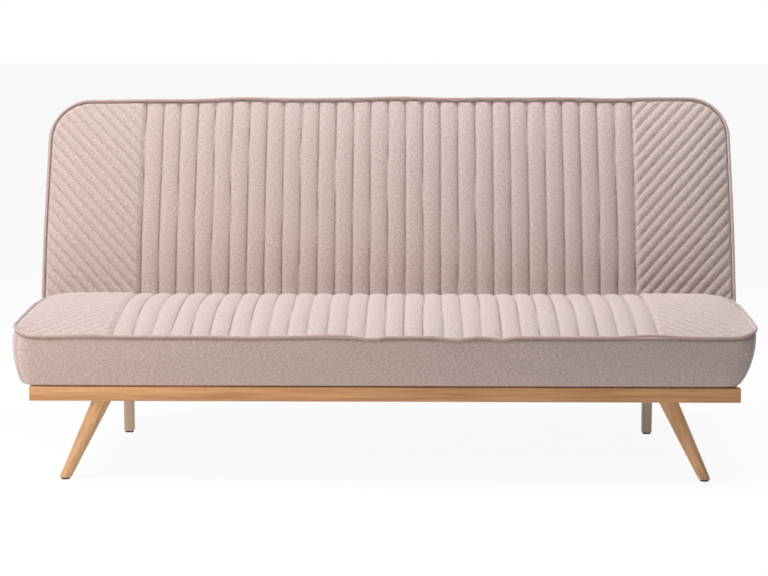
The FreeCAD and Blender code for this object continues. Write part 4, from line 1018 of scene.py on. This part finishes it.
# %% [markdown]
# Piping is a cord sewn into a strip of the same cloth. It could be a ridge of the pad's own
# mesh, but the remesh would soften it. So a curve with a round bevel carries it along the
# edge of each cushion's face, where it follows the edge's own dips. At the rear of the seat
# the cord ends turn down out of sight.

# %% Piping
CORNER_STEPS = 16
CORD_IN = 0.0006


def tube(name, line, radius, sides=3):
    """A round cord along a list of points, made a mesh with its cloth coordinate."""
    curve = bpy.data.curves.new(name, "CURVE")
    curve.dimensions = "3D"
    curve.bevel_depth = radius
    curve.bevel_resolution = sides
    curve.use_fill_caps = True
    curve.resolution_u = 2
    spline = curve.splines.new("POLY")
    spline.points.add(len(line) - 1)
    spline.points.foreach_set("co", np.column_stack([line, np.ones(len(line))]).ravel())
    holder = bpy.data.objects.new(name, curve)
    bpy.context.scene.collection.objects.link(holder)
    pick(holder)
    bpy.ops.object.convert(target="MESH")
    piece = bpy.context.object
    points = read_points(piece)
    steps = np.concatenate([[0], np.cumsum(np.linalg.norm(np.diff(line, axis=0), axis=1))])
    around = len(points) // len(line)
    which = np.minimum(np.arange(len(points)) // max(around, 1), len(line) - 1)
    run = steps[which]
    turn = (np.arange(len(points)) % max(around, 1)) / max(around, 1) * 2 * math.pi * radius
    twist = (run + turn) * math.sqrt(0.5)
    store(piece, "cloth", np.column_stack([twist, (run - turn) * math.sqrt(0.5), np.zeros_like(run)]))
    store(piece, "painted_shade", np.zeros(len(points)))
    bpy.ops.object.shade_smooth()
    return piece


def rounded_run(half, start, end, radius, step=0.006):
    """Plan points from one open end round two corners to the other, evenly spaced."""
    bend = math.copysign(radius, end - start)
    points = [(-half, start)]
    for centre, first in ((-half + radius, math.pi), (half - radius, math.pi / 2)):
        for i in range(CORNER_STEPS + 1):
            angle = first - i * math.pi / (2 * CORNER_STEPS)
            points.append((centre + radius * math.cos(angle), end - bend + bend * math.sin(angle)))
    points.append((half, start))
    line = np.array(points)
    lengths = np.concatenate([[0], np.cumsum(np.linalg.norm(np.diff(line, axis=0), axis=1))])
    even = np.linspace(0, lengths[-1], int(lengths[-1] / step))
    return np.column_stack([np.interp(even, lengths, line[:, 0]), np.interp(even, lengths, line[:, 1])])


# %% The two cords
def seat_piping():
    run = rounded_run(SEAT_HALF - CORD_IN, SEAT_REAR - 0.006, SEAT_FRONT + CORD_IN, SEAT_CORNER)
    x, y = run.T
    z = seat_edge_line(y) + seat_edge_wave(x, y) + 0.0006 + 0.0004 * ripple(x + y, 0.05, 41)
    z = z - 0.006 * smooth(y, SEAT_REAR - 0.035, SEAT_REAR - 0.006)
    return tube("seat_piping_cord", np.column_stack([x, y, z]), PIPING_R)


def back_piping():
    run = rounded_run(BACK_HALF - CORD_IN, BACK_LOW_T + 0.02, BACK_HIGH_T - CORD_IN, BACK_TOP_CORNER)
    x, t = run.T
    line = back_shape(np.column_stack([x, t, np.full_like(x, BACK_FACE)]))
    line[:, 2] = BACK_FACE + 0.0008 + 0.0005 * ripple(x + t, 0.06, 43)
    return tube("back_piping_cord", stand_up(line), PIPING_R)


finish_piece(seat_piping(), PIPING, "seat", "piping_fabric", "seat_piping")
finish_piece(back_piping(), PIPING, "backrest", "piping_fabric", "back_piping")

# %% [markdown]
# Behind the backrest the same cloth is pulled flat over the frame, and under the seat a
# black felted cloth keeps the dust out. A cloth simulation could hang them, but a stapled
# sheet hardly moves. Both are single sheets with a little slack, so they start as a grid,
# sink slightly between the boards and get the thickness of cloth.

# %% Rear cover and dust cover
COVER_INSET = 0.004
COVER_THICKNESS = 0.0012
FELT_THICKNESS = 0.0006


def cloth_sheet(name, half, low, high, level, slack, seed, columns, rows, corner):
    """A flat grid between two ends, sunk between its boards."""
    clear()
    bpy.ops.mesh.primitive_grid_add(x_subdivisions=columns, y_subdivisions=rows, size=1)
    piece = bpy.context.object
    piece.name = name
    points = read_points(piece)
    x = points[:, 0] * 2 * half
    v = low + (points[:, 1] + 0.5) * (high - low)
    inside = inside_distance(x, v, half, low, high, corner[0], corner[1])
    pull = np.minimum(inside, 0)
    middle = (low + high) / 2
    x = x + np.sign(x) * pull * 0.7
    v = v + np.sign(v - middle) * pull * 0.7
    sink = slack * (1 - np.exp(-np.maximum(inside, 0) / 0.05))
    drift = 0.0006 * ripple(x, 0.21, seed) * ripple(v, 0.17, seed + 1)
    write_points(piece, np.column_stack([x, v, level + sink + drift * (sink / slack)]))
    store(piece, "cloth", np.column_stack([x, v, np.zeros_like(x)]))
    # Painted shade along the border of the sheet, where it meets the frame.
    store(piece, "painted_shade", 0.5 * np.exp(-((np.abs(inside) / 0.002) ** 2)))
    return piece


def rear_cover():
    piece = cloth_sheet(
        "rear_cover_cloth", BACK_HALF - COVER_INSET, BACK_LOW_T + COVER_INSET, BACK_HIGH_T - COVER_INSET,
        level=BACK_REAR + 0.0004, slack=0.0012, seed=51, columns=180, rows=60,
        corner=(FOOT_CORNER, BACK_TOP_CORNER - COVER_INSET),
    )
    write_points(piece, stand_up(read_points(piece)))
    modify(piece, "SOLIDIFY", thickness=COVER_THICKNESS, offset=0.0)
    cut_notches(piece)
    return piece


def dust_cover():
    low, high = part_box("seat_dust_cover")
    piece = cloth_sheet(
        "dust_cover_cloth", high.x, low.y, high.y,
        level=low.z + 0.0003, slack=0.0006, seed=61, columns=120, rows=36, corner=(0.01, 0.01),
    )
    modify(piece, "SOLIDIFY", thickness=FELT_THICKNESS, offset=0.0)
    return piece


rear = finish_piece(rear_cover(), TAUPE, "backrest", "taupe_fabric", "back_cover")
dust = finish_piece(dust_cover(), FELT, "seat", "dust_cover", "seat_dust_cover")

# %% [markdown]
# The front legs are turned and tapered, and splay outwards. A cone turned to that angle
# would stand on its rim. So a cylinder is stretched from the foot to the plate with its two
# ends kept level, its lower rim is bevelled finely, and its grain is turned along the leg.

# %% Front legs
LEG_TOP_R = 0.0222
LEG_FOOT_R = 0.0131
LEG_BELOW_PLATE_EDGE = 0.042
FRONT_GLIDE_BEYOND = 0.74


def front_leg(side):
    node = "front_leg_right" if side > 0 else "front_leg_left"
    low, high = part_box(node)
    glides = [v.co for v in nodes["foot_glides"].data.vertices]
    glide = [p for p in glides if p.x * side > FRONT_GLIDE_BEYOND and p.y < 0]
    foot = Vector((sum(p.x for p in glide) / len(glide), sum(p.y for p in glide) / len(glide), low.z))
    plate_low, plate_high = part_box("leg_plates")
    top_x = side * (plate_high.x - LEG_BELOW_PLATE_EDGE)
    top = Vector((top_x, (plate_low.y + plate_high.y) / 2, high.z))
    clear()
    bpy.ops.mesh.primitive_cylinder_add(vertices=64, radius=1, depth=1, end_fill_type="NGON")
    piece = bpy.context.object
    piece.name = "turned_" + node
    axis = (top - foot).normalized()
    leaning = Vector((axis.x, axis.y, 0)).normalized()
    points = read_points(piece)
    for i, (x, y, z) in enumerate(points):
        end, radius = (top, LEG_TOP_R) if z > 0 else (foot, LEG_FOOT_R)
        rim = Vector((x, y, 0)) * radius
        points[i] = end + rim + leaning * (rim.dot(leaning) * (1 / axis.z - 1))
    write_points(piece, points)
    level = (low.z + high.z) / 2
    choose(piece, "EDGE", lambda e: all(
        abs(piece.data.vertices[v].co.z - low.z) < 1e-4 for v in e.vertices
    ))
    bpy.ops.mesh.bevel(offset=0.0022, segments=3, affect="EDGES")
    bpy.ops.object.mode_set(mode="OBJECT")
    choose(piece, "EDGE", lambda e: (piece.data.vertices[e.vertices[0]].co.z - level)
           * (piece.data.vertices[e.vertices[1]].co.z - level) < 0)
    bpy.ops.mesh.subdivide(number_cuts=10)
    bpy.ops.object.mode_set(mode="OBJECT")
    pick(piece)
    bpy.ops.object.shade_smooth_by_angle(angle=math.radians(40))
    lean_angle = math.atan2(axis.x, axis.z)
    material = wood_material("Light oak leg " + ("right" if side > 0 else "left"), LEG_LIGHT, LEG_DARK,
                             (0.0, math.pi / 2 - lean_angle, 0.0))
    return finish_piece(piece, material, "base", "light_wood", node)


for side in (1, -1):
    front_leg(side)

# %% [markdown]
# The rails and the rear legs are planed boards with their edges broken. Their solids are
# plain boxes with sharp edges, which catch no light. A cube at the same place with a small
# round bevel shows the fine bright line along the front rail.

# %% Rails and posts
def board(name, low, high, edge=0.0018, segments=3):
    piece = cube(name, low, high)
    choose(piece, "EDGE", lambda e: True)
    bpy.ops.mesh.bevel(offset=edge, segments=segments, affect="EDGES")
    bpy.ops.object.mode_set(mode="OBJECT")
    pick(piece)
    bpy.ops.object.shade_smooth_by_angle(angle=math.radians(35))
    return piece


finish_piece(board("planed_front_rail", *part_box("front_rail")), RAIL_WOOD, "base", "light_wood", "front_rail")
finish_piece(board("planed_rear_rail", *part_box("rear_rail")), REAR_WOOD, "base", "pale_wood", "rear_rail")
for side_name in ("right", "left"):
    node = "rear_leg_" + side_name
    finish_piece(board("planed_" + node, *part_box(node), edge=0.002), POST_WOOD, "base", "pale_wood", node)

# %% [markdown]
# The frame inside, the webbing and the steel hinges are seen only from behind or below.
# Their solids already have the right shape. They could be modelled again with softer edges,
# but nothing would be won at that size, so they stay and only get their materials.

# %% Materials of the solids that stay
KEPT = {
    SIDE_WOOD: ("side_rails", "cross_rails"),
    PINE_ALONG: ("leg_boards", "corner_blocks", "seat_board_front", "seat_board_rear", "back_board_bottom",
                 "back_board_top", "back_wing_blocks"),
    PINE_ACROSS: ("seat_boards_side", "seat_boards_edge", "seat_boards_inner"),
    PINE_UPRIGHT: ("back_boards_side", "back_boards_edge", "back_boards_inner"),
    ZINC: ("leg_plates", "hinge_plate_right", "hinge_plate_left", "seat_arm_right", "seat_arm_left",
           "back_arm_right", "back_arm_left", "pawl_right", "pawl_left", "pawl_springs"),
    BOLT_ZINC: ("main_pins", "pawl_pins", "rear_leg_bolts", "hinge_plate_bolts", "seat_arm_bolts",
                "back_arm_bolts", "leg_plate_screws"),
    GLIDE: ("foot_glides",),
    RUBBER: ("seat_rest_pads", "back_rest_pads"),
    STRAP: ("seat_webbing", "back_webbing"),
}
for material, names in KEPT.items():
    for name in names:
        nodes[name].data.materials.clear()
        nodes[name].data.materials.append(material)
print("solids kept", sum(len(names) for names in KEPT.values()))

# %% [markdown]
# The sofa stands on a plain pale floor. Brighter lamps could bleach the floor, but they
# would bleach the cloth too. So the camera alone sees floor and world as white, and the
# object still casts its shadow.

# %% Floor and world
FLOOR_GLOW = 1.04
FLOOR_WHITE = 0.88


def mostly_white(material_name, white):
    """A matt floor that the camera sees as nearly white, with the shadow kept."""
    material, tree, shader = surface(material_name, roughness=0.9)
    shader.inputs["Base Color"].default_value = (0.86, 0.86, 0.86, 1)
    glow = tree.nodes.new("ShaderNodeEmission")
    glow.inputs["Strength"].default_value = FLOOR_GLOW
    path = tree.nodes.new("ShaderNodeLightPath")
    seen = maths(tree, "MAXIMUM", path.outputs["Is Camera Ray"], path.outputs["Is Glossy Ray"])
    mix = tree.nodes.new("ShaderNodeMixShader")
    wire(tree, maths(tree, "MULTIPLY", seen, white), mix.inputs["Fac"])
    wire(tree, shader.outputs[0], mix.inputs[1])
    wire(tree, glow.outputs[0], mix.inputs[2])
    wire(tree, mix.outputs[0], tree.nodes["Material Output"].inputs["Surface"])
    return material


clear()
bpy.ops.mesh.primitive_plane_add(size=60)
floor = bpy.context.object
floor.name = "floor"
floor.data.materials.append(mostly_white("Pale floor", FLOOR_WHITE))
floor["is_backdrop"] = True

world = bpy.data.worlds.new("White room")
bpy.context.scene.world = world
world.use_nodes = True
sky = world.node_tree
background = sky.nodes["Background"]
path = sky.nodes.new("ShaderNodeLightPath")
seen = maths(sky, "MAXIMUM", path.outputs["Is Camera Ray"], path.outputs["Is Glossy Ray"])
seen = maths(sky, "MAXIMUM", seen, path.outputs["Is Transmission Ray"])
AMBIENT = 0.14
wire(sky, spread(sky, seen, 0.0, 1.0, AMBIENT, 1.0), background.inputs["Strength"])
background.inputs["Color"].default_value = (1, 1, 1, 1)
print("floor and world, ambient", AMBIENT)

# %% [markdown]
# The light comes from the upper left and falls off to the right. A large soft key lamp
# stands high at the left, and a low warm one lights the boxing and the legs from the same
# side. A long lamp hangs over the hinge line and lights the seat more than the backrest.

# %% Lamps
def lamp(name, place, target, size, power, warmth):
    data = bpy.data.lights.new(name, "AREA")
    data.shape = "RECTANGLE"
    data.size, data.size_y = size
    data.energy = power
    data.color = warmth
    light = bpy.data.objects.new(name, data)
    light.location = place
    light.rotation_euler = (Vector(target) - Vector(place)).to_track_quat("-Z", "Y").to_euler()
    bpy.context.scene.collection.objects.link(light)
    return light


lamp("key", (-2.4, -0.8, 2.8), (-0.1, 0.0, 0.45), (1.2, 1.2), 70, (0.975, 0.985, 1.0))
lamp("side", (-1.8, -1.9, 0.8), (0.0, -0.3, 0.3), (1.0, 1.0), 16, (1.0, 0.82, 0.68))
lamp("top", (0.6, 0.08, 2.6), (0.6, 0.0, 0.0), (2.2, 0.6), 40, (0.975, 0.985, 1.0))
print("lamps 3")

# %% [markdown]
# The camera stands where the photographer stood: about 4.8 m in front of the rail, at
# 1.17 m, looking slightly down and a touch to the left through a long lens. These values
# were found by laying the rail, the legs and the backrest's corners over the photograph.

# %% Camera
CAMERA_AWAY = 4.84
CAMERA_HEIGHT = 1.166
CAMERA_SIDE = 0.078
CAMERA_DOWN = 8.13
CAMERA_LEFT = 0.925
CAMERA_LENS = 96.2
camera_data = bpy.data.cameras.new("camera")
camera_data.lens = CAMERA_LENS
camera_data.sensor_width = 36.0
camera = bpy.data.objects.new("camera", camera_data)
rail_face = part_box("front_rail")[0].y
camera.location = (CAMERA_SIDE, rail_face - CAMERA_AWAY, CAMERA_HEIGHT)
camera.rotation_euler = (math.radians(90 - CAMERA_DOWN), 0.0, math.radians(CAMERA_LEFT))
bpy.context.scene.collection.objects.link(camera)
bpy.context.scene.camera = camera
bpy.context.scene.view_settings.view_transform = "Standard"
print("camera at", [round(v, 3) for v in camera.location])

# %% [markdown]
# Dressing adds cloth, crowns and cords, and must not make the sofa another size. So the box
# round the solids and the box round the dressed sofa are written down side by side.

# %% Sizes and finish
visual_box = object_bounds()
for label, corners in (("cad", cad_box), ("visual", visual_box)):
    print(label, [[round(v, 4) for v in corner] for corner in corners])
